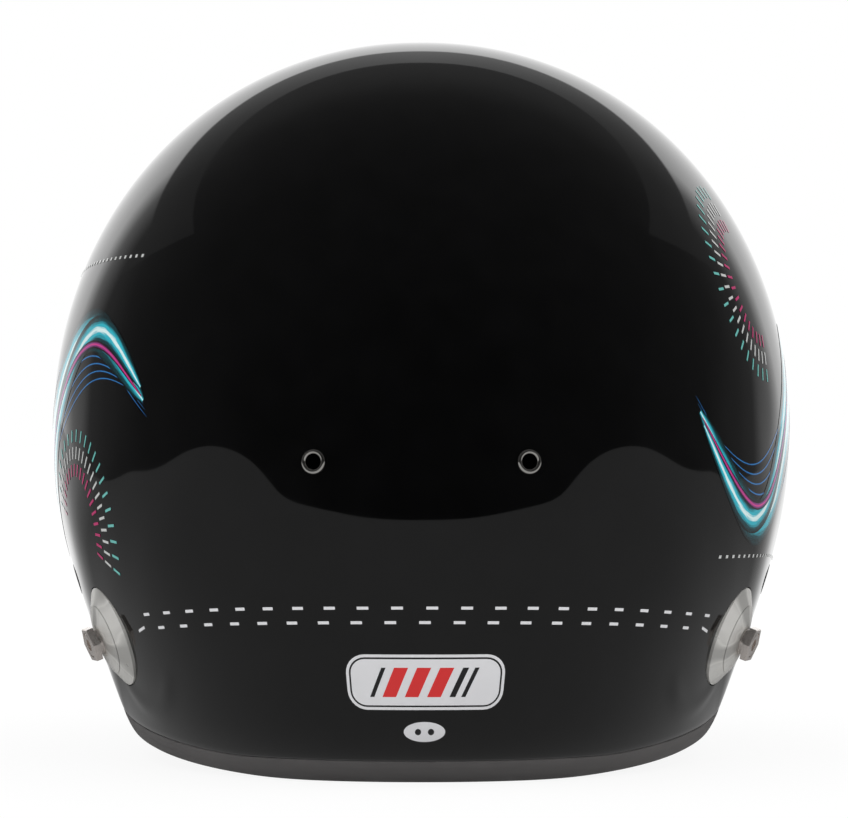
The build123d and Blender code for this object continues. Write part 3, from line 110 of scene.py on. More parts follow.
@dataclass(frozen=True)
class ShellForm:
    """Outer form of the helmet: superellipses in plan that swell and close with height."""

    height: float = 241.5
    half_width: tuple[float, ...] = (125.0, 108.5, 96.7, 2.06, 5.0)
    rear: tuple[float, ...] = (162.0, 84.0, 142.0, 2.1, 14.4)
    front: tuple[float, ...] = (175.0, 45.0, 166.0, 2.0, 14.4)
    rear_power: float = 2.15
    front_power: float = 2.2
    lip_height: float = 32.0
    shoulder_step: float = 6.0
    valley_depth: float = 0.8
    tilt_height: float = 95.0
    tilt_reach: float = 30.0
    valley_offset: float = 36.0
    valley_width: float = 15.0
    rim_stations: tuple[float, ...] = (-190.0, -140.0, -30.0, 22.0, 114.0, 190.0)
    rim_heights: tuple[float, ...] = (0.0, 0.0, 9.5, 9.5, 0.0, 0.0)
    rim_rounding: float = 5.7

    def level_size(self, height: Array, sizes: Sequence[float], inset: Array) -> Array:
        """Half size of the form at a height.

        Above the widest level the size falls as a superellipse of height. Below it the size
        falls by 1.5 s^2 + 0.1 s^3 - 0.6 s^4 of the difference to the base, with s the share of
        the way down, and a fourth power of the distance into the lip is taken off.

        Args:
            height: Heights in millimetres.
            sizes: Full size, widest level, base size, power of the dome and tuck of the lip.
            inset: Distance inside the outer form.

        Returns:
            Half sizes in millimetres.
        """
        full, widest, base, power, lip_tuck = sizes
        share = np.clip((height - widest) / (self.height - inset - widest), 0.0, 1.0)
        dome = (full - inset) * (1 - share**power) ** (1 / power)
        drop = 1 - height / widest
        tuck = 1.5 * drop**2 + 0.1 * drop**3 - 0.6 * drop**4
        lip = lip_tuck * np.clip(1 - height / self.lip_height, 0.0, None) ** 4
        return np.where(height >= widest, dome, full - inset - (full - base) * tuck - lip)

    def reach(self, height: Array, to_rear: Array, inset: Array) -> Array:
        """Distance from the widest line to the rear or the front of the form."""
        rear = self.level_size(height, self.rear, inset)
        return np.where(to_rear, rear, self.level_size(height, self.front, inset))

    def side(self, y: Array, height: Array, inset: Array) -> Array:
        """Half width of the form with the step taken off that the visor's arms lie in."""
        half = self.level_size(height, self.half_width, inset)
        along, upward = smooth((14.0 - y) / 34.0), smooth((height - 40.0) / 35.0)
        return half * (1 - self.shoulder_step * along * upward / (self.half_width[0] - inset))

    def plain(self, turn: Array, height: Array, inset: Array = 0.0) -> Array:
        """Points of the form, y from the widest line.

        A plan superellipse: x is the half width times cos t to the 2/p, y the reach times
        sin t to the 2/p, each with the sign of its sine or cosine.

        Args:
            turn: Plan turns in degrees: 0 is the left side, 90 the rear, 270 the front.
            height: Heights in millimetres.
            inset: Distance inside the outer form.

        Returns:
            An array of points with a last axis of 3.
        """
        turn, height, inset = np.broadcast_arrays(*map(np.asarray, (turn, height, inset)), subok=False)
        across, along = np.cos(np.radians(turn)), np.sin(np.radians(turn))
        to_rear = along > 0
        share = 2 / np.where(to_rear, self.rear_power, self.front_power)
        y = np.sign(along) * self.reach(height, to_rear, inset) * np.abs(along) ** share
        x = np.sign(across) * self.side(y, height, inset) * np.abs(across) ** share
        return np.stack([x, y, height + 0.0 * x], axis=-1)

    def normal(self, turn: Array, height: Array, inset: Array = 0.0) -> Array:
        """Outward unit normals: the cross product of the steps along the level and upward."""
        step = 0.05
        level = self.plain(turn + step, height, inset) - self.plain(turn - step, height, inset)
        low = np.minimum(height, self.height - inset - 0.2)
        rise = self.plain(turn, low + step, inset) - self.plain(turn, low - step, inset)
        cross = np.cross(level, rise)
        size = np.linalg.norm(cross, axis=-1, keepdims=True)
        up = np.broadcast_to(np.array([0.0, 0.0, 1.0]), cross.shape)
        near_top = np.asarray(height)[..., None] > self.height - inset - 0.15
        return np.where(np.broadcast_to(near_top, cross.shape), up, cross / np.maximum(size, 1e-12))

    def relief(self, points: Array) -> Array:
        """Height of the rear's own shape above the plain form.

        Two upright valleys are bell curves in x. A tilt about one level, which is a slope times
        the height over it times a bell curve of that height, leans the surface out at two places
        beside the middle, and in between them and further out. A swelling below each anchor is a
        bell curve of the distance from it.
        """
        x, y, z = np.moveaxis(points, -1, 0)
        bell = np.exp(-(((np.abs(x) - self.valley_offset) / self.valley_width) ** 2))
        upright = smooth((z - 40.0) / 28.0) * smooth((90.0 - z) / 30.0)
        above = z - self.tilt_height
        slope = (0.145 * np.exp(-(((np.abs(x) - 62.0) / 17.0) ** 2)) - 0.05
                 - 0.045 * smooth((np.abs(x) - 90.0) / 12.0))
        tilt = slope * above * np.exp(-((above / self.tilt_reach) ** 2))
        valley = (tilt - self.valley_depth * bell * upright) * smooth((y - 40.0) / 40.0)
        away = np.hypot(np.hypot(np.abs(x) - 93.6, y - 88.0), z - 43.0)
        return valley + 0.45 * np.exp(-(((away - 24.0) / 3.5) ** 2)) * smooth((36.0 - z) / 12.0)

    def skin(self, turn: Array, height: Array, lift: Array = 0.0) -> Array:
        """Points on the painted outside, lifted along the normal, in the model's frame."""
        points = self.plain(turn, height)
        lift = np.asarray(lift) + self.relief(points)
        moved = points + self.normal(turn, height) * lift[..., None]
        return moved + np.array([0.0, PLAN_SHIFT, 0.0])

    def layer(self, turn: Array, height: Array, inset: Array) -> Array:
        """Points of an inner layer in the model's frame."""
        return self.plain(turn, height, inset) + np.array([0.0, PLAN_SHIFT, 0.0])

    def rim(self, y: Array) -> Array:
        """Height of the lower rim at y from the widest line, with its bends rounded."""
        offsets = np.linspace(-self.rim_rounding, self.rim_rounding, 15)
        places = np.asarray(y)[..., None] + offsets
        return np.interp(places, self.rim_stations, self.rim_heights).mean(axis=-1)

    def rim_at(self, turn: Array, lift: float, inset: Array = 0.0) -> Array:
        """Height of the rim at plan turns, lifted by a distance."""
        height = np.full(np.shape(turn), lift, float)
        for _ in range(3):
            height = lift + self.rim(self.plain(turn, height, inset)[..., 1])
        return height

    def turn_of_arc(self, arc: Array, level: float) -> Array:
        """Plan turns at distances round the shell from the middle of the rear, left positive."""
        turns = np.linspace(-90.0, 270.0, 7201)
        ring = self.plain(turns, level)
        lengths = run_lengths(ring)
        lengths -= np.interp(90.0, turns, lengths)
        return np.interp(-np.asarray(arc), lengths, turns)

    def turn_of_offset(self, offset: float, height: float, rear: bool = True) -> float:
        """Plan turn at which the form is this far from the middle plane."""
        power = self.rear_power if rear else self.front_power
        half = float(self.level_size(np.array(height), self.half_width, 0.0))
        turn = float(np.degrees(np.arccos((abs(offset) / half) ** (power / 2))))
        turn = turn if offset > 0 else 180.0 - turn
        return turn if rear else 360.0 - turn

    def frame_at(self, turn: float, height: float) -> Matrix:
        """Matrix of the plane that touches the form, in metres: X level, Z outward."""
        turn_array, height_array = np.array(turn), np.array(height)
        step = 1.0
        here = self.plain(turn_array, height_array)
        level = self.plain(turn_array + step, height_array) - self.plain(turn_array - step, height_array)
        rise = self.plain(turn_array, height_array + step) - self.plain(turn_array, height_array - step)
        x_axis = Vector(level).normalized()
        z_axis = Vector(np.cross(level, rise)).normalized()
        axes = Matrix((x_axis, z_axis.cross(x_axis), z_axis)).transposed().to_4x4()
        return Matrix.Translation((Vector(here) + Vector((0, PLAN_SHIFT, 0))) * MM) @ axes


FORM = ShellForm()
ANCHOR = (26.6, 43.0)
STRAP = (8.5, 60.0)
EYELET = (33.0, 100.7)
BROW_VENT = (26.0, 196.0)


def side_turn(side: Side, turn: float) -> float:
    """Mirror a plan turn to the chosen side."""
    return turn if side is Side.LEFT else 180.0 - turn


# Meshes


def grid_faces(rows: int, columns: int, closed_rows: bool = False, closed_columns: bool = False) -> Array:
    """Quads of a grid of points, row by row.

    Args:
        rows: Number of rows of points.
        columns: Number of points in a row.
        closed_rows: Whether the last row joins the first.
        closed_columns: Whether the last column joins the first.

    Returns:
        An array of quads of point numbers.
    """
    row = np.arange(rows if closed_rows else rows - 1)[:, None]
    column = np.arange(columns if closed_columns else columns - 1)[None, :]
    next_row, next_column = (row + 1) % rows, (column + 1) % columns
    quads = [row * columns + column, row * columns + next_column,
             next_row * columns + next_column, next_row * columns + column]
    return np.stack(np.broadcast_arrays(*quads), axis=-1).reshape(-1, 4)


def enclosed(points: Array, faces: Array) -> float:
    """Volume inside the faces, positive where they point outward."""
    corners = points[faces]
    triple = np.einsum("ij,ij->i", corners[:, 0], np.cross(corners[:, 1], corners[:, 2]))
    triple = triple + np.einsum("ij,ij->i", corners[:, 0], np.cross(corners[:, 2], corners[:, 3]))
    return float(triple.sum() / 6)


def new_piece(name: str, points: Array, faces: Array, uv: Array | None = None,
              closed: bool = True, smooth_angle: float = 35.0) -> Piece:
    """Make an object from points in millimetres.

    Args:
        name: Name of the piece.
        points: Points, one a row.
        faces: Quads or triangles of point numbers.
        uv: Pattern coordinates of the points, or None.
        closed: Whether the surface is closed, so that its faces can be turned outward.
        smooth_angle: Edges sharper than this angle in degrees stay sharp.

    Returns:
        The new object, at the origin.
    """
    points, faces = points.reshape(-1, 3), np.asarray(faces)
    if closed and faces.shape[1] == 4 and enclosed(points, faces) < 0:
        faces = faces[:, ::-1]
    mesh = bpy.data.meshes.new(name)
    mesh.from_pydata((points * MM).tolist(), [], faces.tolist())
    if uv is not None:
        layer = mesh.uv_layers.new(name="UVMap")
        loops = np.empty(len(mesh.loops), np.int32)
        mesh.loops.foreach_get("vertex_index", loops)
        layer.data.foreach_set("uv", uv.reshape(-1, 2)[loops].ravel())
    merge_points(mesh)
    mesh.shade_smooth()
    mesh.set_sharp_from_angle(angle=radians(smooth_angle))
    piece = bpy.data.objects.new(name, mesh)
    bpy.context.scene.collection.objects.link(piece)
    return piece


def merge_points(mesh: bpy.types.Mesh) -> None:
    """Join points that lie on each other, such as a pole's, and drop faces of no area."""
    work = bmesh.new()
    work.from_mesh(mesh)
    bmesh.ops.remove_doubles(work, verts=work.verts, dist=1e-6)
    bmesh.ops.dissolve_degenerate(work, edges=work.edges, dist=1e-7)
    work.to_mesh(mesh)
    work.free()


def rounded_outline(width: float, height: float, corner: float, count: int = 10) -> Array:
    """Points of a rounded rectangle about the origin, counter-clockwise."""
    quarter = np.linspace(0, pi / 2, count)
    arcs = []
    for number, (x, y) in enumerate(((1, 1), (-1, 1), (-1, -1), (1, -1))):
        angle = quarter + number * pi / 2
        centre = np.array([x * (width / 2 - corner), y * (height / 2 - corner)])
        arcs.append(centre + corner * np.stack([np.cos(angle), np.sin(angle)], axis=-1))
    return np.concatenate(arcs)


def prism(outline: Array, low: float, high: float, place: Matrix) -> tuple[Array, Faces]:
    """Closed prism over an outline in a plane's X and Y.

    Args:
        outline: Points of the outline.
        low: Level of one end along the plane's Z.
        high: Level of the other end.
        place: Matrix of the plane, in metres.

    Returns:
        Points in millimetres and the faces.
    """
    count = len(outline)
    rings = [np.column_stack([outline, np.full(count, level)]) for level in (low, high)]
    points = np.concatenate(rings)
    turn = np.array(place.to_3x3())
    points = points @ turn.T + np.array(place.translation) / MM
    sides = grid_faces(2, count, closed_columns=True).tolist()
    return points, [*sides, list(range(count))[::-1], list(range(count, 2 * count))]


def cut(piece: Piece, prisms: Iterable[tuple[Array, Faces]]) -> None:
    """Cut prisms out of a closed piece with one exact boolean.

    Args:
        piece: The closed piece.
        prisms: Points and faces of each cutter.
    """
    work = bmesh.new()
    for points, faces in prisms:
        corners = [work.verts.new(Vector(point) * MM) for point in points]
        made = [work.faces.new([corners[index] for index in face]) for face in faces]
        bmesh.ops.recalc_face_normals(work, faces=made)
    mesh = bpy.data.meshes.new("cutter")
    work.to_mesh(mesh)
    work.free()
    cutter = bpy.data.objects.new("cutter", mesh)
    bpy.context.scene.collection.objects.link(cutter)
    boolean = piece.modifiers.new("openings", "BOOLEAN")
    boolean.operation, boolean.solver, boolean.object = "DIFFERENCE", "EXACT", cutter
    apply_modifiers(piece)
    bpy.data.objects.remove(cutter)
    piece.data.set_sharp_from_angle(angle=radians(32))


def apply_modifiers(piece: Piece) -> None:
    """Replace a piece's mesh by what its modifiers make of it."""
    view = bpy.context.evaluated_depsgraph_get()
    view.update()
    mesh = bpy.data.meshes.new_from_object(piece.evaluated_get(view))
    piece.modifiers.clear()
    old = piece.data
    piece.data = mesh
    bpy.data.meshes.remove(old)


# Finishes


class Nodes:
    """Short hand for building the node tree of a material or of the world."""

    def __init__(self, owner: Material | bpy.types.World) -> None:
        """Start an empty tree with an output."""
        self.owner = owner
        owner.use_nodes = True
        self.tree = owner.node_tree
        self.tree.nodes.clear()
        kind = "World" if isinstance(owner, bpy.types.World) else "Material"
        self.output = self.add(f"ShaderNodeOutput{kind}")

    def add(self, kind: str, values: dict | None = None, **settings: object) -> bpy.types.Node:
        """Add a node.

        Args:
            kind: Blender's name of the node.
            values: Value or source socket by input name or number.
            settings: Attributes of the node.

        Returns:
            The node.
        """
        node = self.tree.nodes.new(kind)
        for setting, value in settings.items():
            setattr(node, setting, value)
        for socket, value in (values or {}).items():
            if isinstance(value, Socket):
                self.tree.links.new(value, node.inputs[socket])
            else:
                node.inputs[socket].default_value = value
        return node

    def math(self, operation: str, *values: object) -> Socket:
        """Output of a math node."""
        return self.add("ShaderNodeMath", dict(enumerate(values)), operation=operation).outputs[0]

    def ramp(self, factor: Socket, stops: Sequence[tuple[float, Sequence[float]]]) -> Socket:
        """Colour of a ramp through stops of place and colour."""
        node = self.add("ShaderNodeValToRGB", {"Fac": factor})
        elements = node.color_ramp.elements
        while len(elements) > 1:
            elements.remove(elements[-1])
        elements[0].position, elements[0].color = stops[0][0], (*stops[0][1], 1)
        for place, colour in stops[1:]:
            elements.new(place).color = (*colour, 1)
        return node.outputs[0]

    def grey(self, factor: Socket, levels: Sequence[tuple[float, float]]) -> Socket:
        """Output of a ramp of grey levels."""
        return self.ramp(factor, [(place, (level,) * 3) for place, level in levels])

    def place(self) -> Socket:
        """Object coordinates, in metres."""
        return self.add("ShaderNodeTexCoord").outputs["Object"]

    def finish(self, shader: bpy.types.Node) -> Material | bpy.types.World:
        """Join the shader to the output."""
        self.tree.links.new(shader.outputs[0], self.output.inputs["Surface"])
        return self.owner


@dataclass(frozen=True)
class Finish:
    """A surface finish: colour with a faint mottle, roughness with a faint streak, and a grain."""

    name: str
    colour: Colour
    roughness: float
    metallic: float = 0.0
    mottle: float = 0.12
    mottle_scale: float = 90.0
    grain: float = 0.0
    grain_scale: float = 1500.0
    grain_depth: float = 0.0001
    sheen: float = 0.0
    coat: float = 0.0
    coat_roughness: float = 0.03
    ior: float = 1.5

    def material(self) -> Material:
        """Build the finish as a material on Object coordinates."""
        nodes = Nodes(bpy.data.materials.new(self.name))
        place = nodes.place()
        mottle = nodes.add("ShaderNodeTexNoise", {"Vector": place, "Scale": self.mottle_scale, "Detail": 4.0})
        dark = tuple(value * (1 - self.mottle) for value in self.colour)
        light = tuple(min(value * (1 + self.mottle), 1.0) for value in self.colour)
        colour = nodes.ramp(mottle.outputs[0], [(0.3, dark), (0.7, light)])
        rough = nodes.add("ShaderNodeMapRange", {
            "Value": mottle.outputs[0], "From Min": 0.3, "From Max": 0.7,
            "To Min": self.roughness * 0.85, "To Max": min(self.roughness * 1.15, 1.0)})
        values = {"Base Color": colour, "Roughness": rough.outputs[0], "Metallic": self.metallic,
                  "IOR": self.ior, "Sheen Weight": self.sheen, "Coat Weight": self.coat,
                  "Coat Roughness": self.coat_roughness}
        if self.grain:
            values["Normal"] = self.bump(nodes, place)
        values.update(self.extra(nodes, place))
        return nodes.finish(nodes.add("ShaderNodeBsdfPrincipled", values))

    def extra(self, nodes: Nodes, place: Socket) -> dict:
        """Further inputs of the shader; a plain finish has none."""
        return {}

    def bump(self, nodes: Nodes, place: Socket) -> Socket:
        """Normals of a fine even grain."""
        grain = nodes.add("ShaderNodeTexNoise", {"Vector": place, "Scale": self.grain_scale, "Detail": 2.0})
        return self.raised(nodes, grain.outputs[0])

    def raised(self, nodes: Nodes, height: Socket) -> Socket:
        """Normals of a height pattern, at the finish's own strength and depth."""
        return nodes.add("ShaderNodeBump", {"Height": height, "Strength": self.grain,
                                            "Distance": self.grain_depth}).outputs[0]


@dataclass(frozen=True)
class TurnedFinish(Finish):
    """Metal turned on a lathe: fine rings about the axis of the piece, which fan its highlights, and wedges
    of painted highlight and painted shade in its base colour.
    """

    axis: Matrix = field(default_factory=Matrix)
    ring_scale: float = 900.0

    def extra(self, nodes: Nodes, place: Socket) -> dict:
        """Grooves that run round the axis, and wedges of painted highlight and painted shade in the base
        colour.

        The grooves' direction is the axis times the radius, and the painted wedges are a noise of the
        direction from the axis.
        """
        centre, direction = self.axis.translation, self.axis.to_3x3().col[2]
        radius = nodes.add("ShaderNodeVectorMath", {0: place, 1: centre}, operation="SUBTRACT")
        round_axis = nodes.add("ShaderNodeVectorMath", {0: direction, 1: radius.outputs[0]},
                               operation="CROSS_PRODUCT")
        unit = nodes.add("ShaderNodeVectorMath", {0: radius.outputs[0]}, operation="NORMALIZE")
        painted_highlight_wedges = nodes.add("ShaderNodeTexNoise", {"Vector": unit.outputs[0], "Scale": 1.5, "Detail": 0.0})
        # Painted highlights and shade: the base colour is scaled darker and lighter, from 0.66 to 1.12 times,
        # in wedges round the axis.
        levels = [(0.34, 0.66), (0.44, 0.90), (0.50, 1.12), (0.55, 0.98), (0.68, 1.10)]
        colour = nodes.ramp(painted_highlight_wedges.outputs[0], [
            (stop, tuple(min(value * level, 1.0) for value in self.colour)) for stop, level in levels])
        return {"Base Color": colour, "Anisotropic": 0.75, "Tangent": round_axis.outputs[0]}

    def bump(self, nodes: Nodes, place: Socket) -> Socket:
        """Normals of fine rings, with Object coordinates turned to the piece's own axis."""
        inverse = self.axis.inverted()
        turned = nodes.add("ShaderNodeMapping", {
            "Vector": place, "Location": inverse.translation, "Rotation": inverse.to_euler()})
        rings = nodes.add("ShaderNodeTexWave", {
            "Vector": turned.outputs[0], "Scale": self.ring_scale, "Distortion": 1.5, "Detail": 3.0,
            "Detail Scale": 0.6}, wave_type="RINGS", rings_direction="Z")
        return self.raised(nodes, rings.outputs[0])


@dataclass(frozen=True)
class KnitFinish(Finish):
    """Knitted cloth: small loops in rows, with a soft sheen."""

    loop_scale: float = 620.0

    def bump(self, nodes: Nodes, place: Socket) -> Socket:
        """Normals of a cell pattern drawn out in height, as rows of loops."""
        drawn = nodes.add("ShaderNodeMapping", {"Vector": place, "Scale": (1.0, 1.0, 0.6)})
        loops = nodes.add("ShaderNodeTexVoronoi", {"Vector": drawn.outputs[0], "Scale": self.loop_scale})
        folds = nodes.add("ShaderNodeTexNoise", {"Vector": place, "Scale": 45.0, "Detail": 3.0})
        height = nodes.math("ADD", nodes.math("MULTIPLY", loops.outputs["Distance"], -1.0),
                            nodes.math("MULTIPLY", folds.outputs[0], 3.0))
        return self.raised(nodes, height)


@dataclass(frozen=True)
class BeadFinish(Finish):
    """Expanded bead foam: packed round beads with dark joints."""

    bead_scale: float = 300.0

    def bump(self, nodes: Nodes, place: Socket) -> Socket:
        """Normals of round cells."""
        beads = nodes.add("ShaderNodeTexVoronoi", {"Vector": place, "Scale": self.bead_scale},
                          feature="SMOOTH_F1")
        return self.raised(nodes, nodes.math("MULTIPLY", beads.outputs["Distance"], -1.0))


@dataclass(frozen=True)
class WebbingFinish(Finish):
    """Woven strap: a herringbone of ribs along the strap's own UV map, u along it in millimetres."""

    rib: float = 1.6

    def bump(self, nodes: Nodes, place: Socket) -> Socket:
        """Normals of ribs that slant one way and then the other across the strap."""
        uv = nodes.add("ShaderNodeTexCoord").outputs["UV"]
        split = nodes.add("ShaderNodeSeparateXYZ", {"Vector": uv})
        fold = nodes.math("PINGPONG", split.outputs[1], 3.0)
        along = nodes.math("ADD", split.outputs[0], fold)
        ribs = nodes.math("SINE", nodes.math("MULTIPLY", along, 2 * pi / self.rib))
        threads = nodes.math("SINE", nodes.math("MULTIPLY", split.outputs[1], 2 * pi / 0.8))
        height = nodes.math("ADD", ribs, nodes.math("MULTIPLY", threads, 0.4))
        return self.raised(nodes, height)


PAINT = Finish("clear_coated_black", (0.0019, 0.0019, 0.0020), 0.045, mottle=0.25, grain=0.12,
               grain_scale=160.0, grain_depth=0.00002)
RUBBER = Finish("edge_rubber", (0.125, 0.119, 0.118), 0.62, grain=0.35, grain_scale=2500.0)
SEAL_RUBBER = Finish("seal_rubber", (0.012, 0.012, 0.012), 0.6, grain=0.3, grain_scale=2200.0)
BLACK_PLASTIC = Finish("moulded_plastic", (0.012, 0.012, 0.013), 0.42, grain=0.3, grain_scale=2600.0)
STEEL = Finish("polished_steel", (0.82, 0.755, 0.71), 0.18, metallic=0.85, mottle=0.06, grain=0.06,
               grain_scale=3500.0)
BRIGHT_STEEL = Finish("bright_steel", (0.72, 0.70, 0.67), 0.13, metallic=1.0, mottle=0.05, grain=0.04,
                      grain_scale=3500.0)
PLATE_STEEL = Finish("zinc_plate", (0.50, 0.50, 0.49), 0.32, metallic=1.0, grain=0.15)
ANODISED = Finish("black_anodised", (0.03, 0.03, 0.032), 0.34, metallic=0.9, grain=0.15)
ALLOY = Finish("satin_alloy", (0.52, 0.52, 0.53), 0.3, metallic=0.8, mottle=0.05, grain=0.12)
MESH_STEEL = Finish("woven_mesh", (0.22, 0.22, 0.22), 0.4, metallic=0.7, grain=0.2)
FOAM = BeadFinish("bead_foam", (0.035, 0.035, 0.038), 0.75, mottle=0.3, grain=0.6, grain_depth=0.0006)
CLOTH = KnitFinish("knitted_cloth", (0.018, 0.018, 0.02), 0.85, sheen=0.35, grain=0.5, grain_depth=0.0006)
WEBBING = WebbingFinish("strap_webbing", (0.014, 0.014, 0.015), 0.7, sheen=0.25, grain=0.7,
                        grain_depth=0.0003)
THREAD = Finish("sewing_thread", (0.10, 0.10, 0.105), 0.6, sheen=0.2, grain=0.4)


def film(name: str, colour: Colour) -> Finish:
    """A printed colour under the shell's clear coat."""
    return Finish(name, colour, 0.05, mottle=0.02, grain=0.1, grain_scale=160.0, grain_depth=0.00002)


def dress(piece: Piece, material: Material) -> None:
    """Give a piece one material in all its slots."""
    piece.data.materials.clear()
    piece.data.materials.append(material)


def settle(piece: Piece, material: Material, slot: str, *nodes: str) -> None:
    """Dress a finished piece, and make it ride on the shell and stand for its CAD nodes."""
    dress(piece, material)
    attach(piece, SHELL_BODY)
    if nodes:
        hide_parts(*nodes)
    LOG.info("%s: %d faces", piece.name, len(piece.data.polygons))


# Shell


@dataclass
class Shell:
    """Hard shell and the trim on its lower rim."""

    wall: float = 3.2
    widest: float = 108.5
    trim_top: float = 7.5
    trim_leg: float = 1.8
    trim_web: float = 2.0
    columns: int = 560
    eyeport: tuple[float, float, float] = (83.0, 66.0, 30.0)
    eyeport_rear: float = -52.0
    chin_hole: tuple[float, float, float] = (45.1, 15.1, 5.5)
    anchor_seat: tuple[float, float, float] = (34.3, 34.3, 17.14)
    rivet_seat: tuple[float, float, float] = (10.4, 10.4, 5.19)
    eyelet_hole: tuple[float, float, float] = (5.7, 5.7, 2.84)
    brow_hole: tuple[float, float, float] = (16.1, 8.1, 4.04)

    def build(self) -> None:
        """Make and dress the shell and its trim."""
        shell = self.make_wall()
        cut(shell, self.openings())
        settle(shell, PAINT.material(), "shell_paint", "outer_shell")
        trim = self.make_trim()
        settle(trim, RUBBER.material(), "trim_rubber", "lower_edge_trim")

    def heights(self, foot: Array, inset: float, rows: int) -> Array:
        """Rows of heights from a foot line to the top: even below the widest level, and as a
        sine of even turns above it, so that the rows close up evenly on the crown."""
        widest = self.widest
        below = np.linspace(0.0, 1.0, rows // 2, endpoint=False)[:, None]
        above = np.sin(np.linspace(0, pi / 2, rows - rows // 2))[:, None]
        top = FORM.height - inset
        return np.concatenate([foot + (widest - foot) * below, widest + (top - widest) * above + 0 * foot])

    def make_wall(self) -> Piece:
        """Closed wall: outside from rim to crown, inside back down, and a tongue in the trim."""
        turns = np.linspace(0, 360, self.columns, endpoint=False)
        edge = self.trim_top + 0.05
        outer = self.heights(FORM.rim_at(turns, edge + 0.5), 0.0, 122)
        inner = self.heights(FORM.rim_at(turns, self.trim_web + 0.05), self.wall, 44)
        rows = [FORM.layer(turns, inner, self.wall)[::-1]]
        for lift, inset in ((self.trim_web + 0.05, self.trim_leg + 0.05), (edge, self.trim_leg + 0.05),
                            (edge, 0.5), (edge + 0.15, 0.15)):
            rows.append(FORM.layer(turns, FORM.rim_at(turns, lift, inset), inset)[None])
        rows.append(FORM.skin(turns, outer))
        points = np.concatenate(rows)
        return new_piece("painted_shell", points, grid_faces(len(points), self.columns, closed_columns=True))

    def openings(self) -> list[tuple[Array, Faces]]:
        """Cutters for the eyeport, the vents and the fixing holes."""
        sill, tall, corner = self.eyeport
        length = 175.0 + self.eyeport_rear + corner + 12.0
        middle = Vector((0.0, self.eyeport_rear - length / 2 + PLAN_SHIFT, sill + tall / 2)) * MM
        across = Matrix.Translation(middle) @ Matrix(((0, 0, 1), (1, 0, 0), (0, 1, 0))).to_4x4()
        cutters = [prism(rounded_outline(length, tall, corner, 24), -300.0, 300.0, across)]
        vent = Matrix.Translation(Vector((0.0, 0.0, 55.0)) * MM)
        forward = vent @ Matrix(((1, 0, 0), (0, 0, -1), (0, 1, 0))).to_4x4()
        cutters.append(prism(rounded_outline(*self.chin_hole), 60.0, 250.0, forward))
        for side in Side:
            anchor = FORM.frame_at(side_turn(side, ANCHOR[0]), ANCHOR[1])
            cutters.append(prism(rounded_outline(*self.anchor_seat, 24), -1.3, 12.0, anchor))
            strap = FORM.frame_at(side_turn(side, STRAP[0]), STRAP[1])
            for offset in (-8.0, 8.0):
                rivet = strap @ Matrix.Translation((offset * MM, 0, 0))
                cutters.append(prism(rounded_outline(*self.rivet_seat, 16), -1.0, 6.0, rivet))
            for (aside, level), outline, rear in ((EYELET, self.eyelet_hole, True),
                                                  (BROW_VENT, self.brow_hole, False)):
                place = FORM.frame_at(FORM.turn_of_offset(side.value * aside, level, rear=rear), level)
                cutters.append(prism(rounded_outline(*outline, 12), -12.0, 12.0, place))
        return cutters

    def make_trim(self) -> Piece:
        """Rubber channel: one rounded U profile of lifts and insets carried round the rim."""
        turns = np.linspace(0, 360, self.columns, endpoint=False)
        top, leg, web = self.trim_top, self.trim_leg, self.trim_web
        inner = self.wall + 0.05 + self.trim_leg
        profile = [(0.0, 1.3), (0.12, 0.6), (0.6, 0.12), (1.3, 0.0), (2.8, -0.1), (4.8, -0.12), (6.4, -0.05),
                   (7.15, 0.12), (top, 0.6), (top, leg), (web, leg), (web, self.wall + 0.05),
                   (top, self.wall + 0.05), (top, inner - 0.5), (7.15, inner - 0.1), (6.4, inner),
                   (1.3, inner), (0.6, inner - 0.12), (0.12, inner - 0.6), (0.0, inner - 1.3)]
        rows = [FORM.layer(turns, FORM.rim_at(turns, lift, inset), inset) for lift, inset in profile]
        points = np.stack(rows)
        faces = grid_faces(len(points), self.columns, closed_rows=True, closed_columns=True)
        return new_piece("edge_trim", points, faces, smooth_angle=50.0)


# Printed films


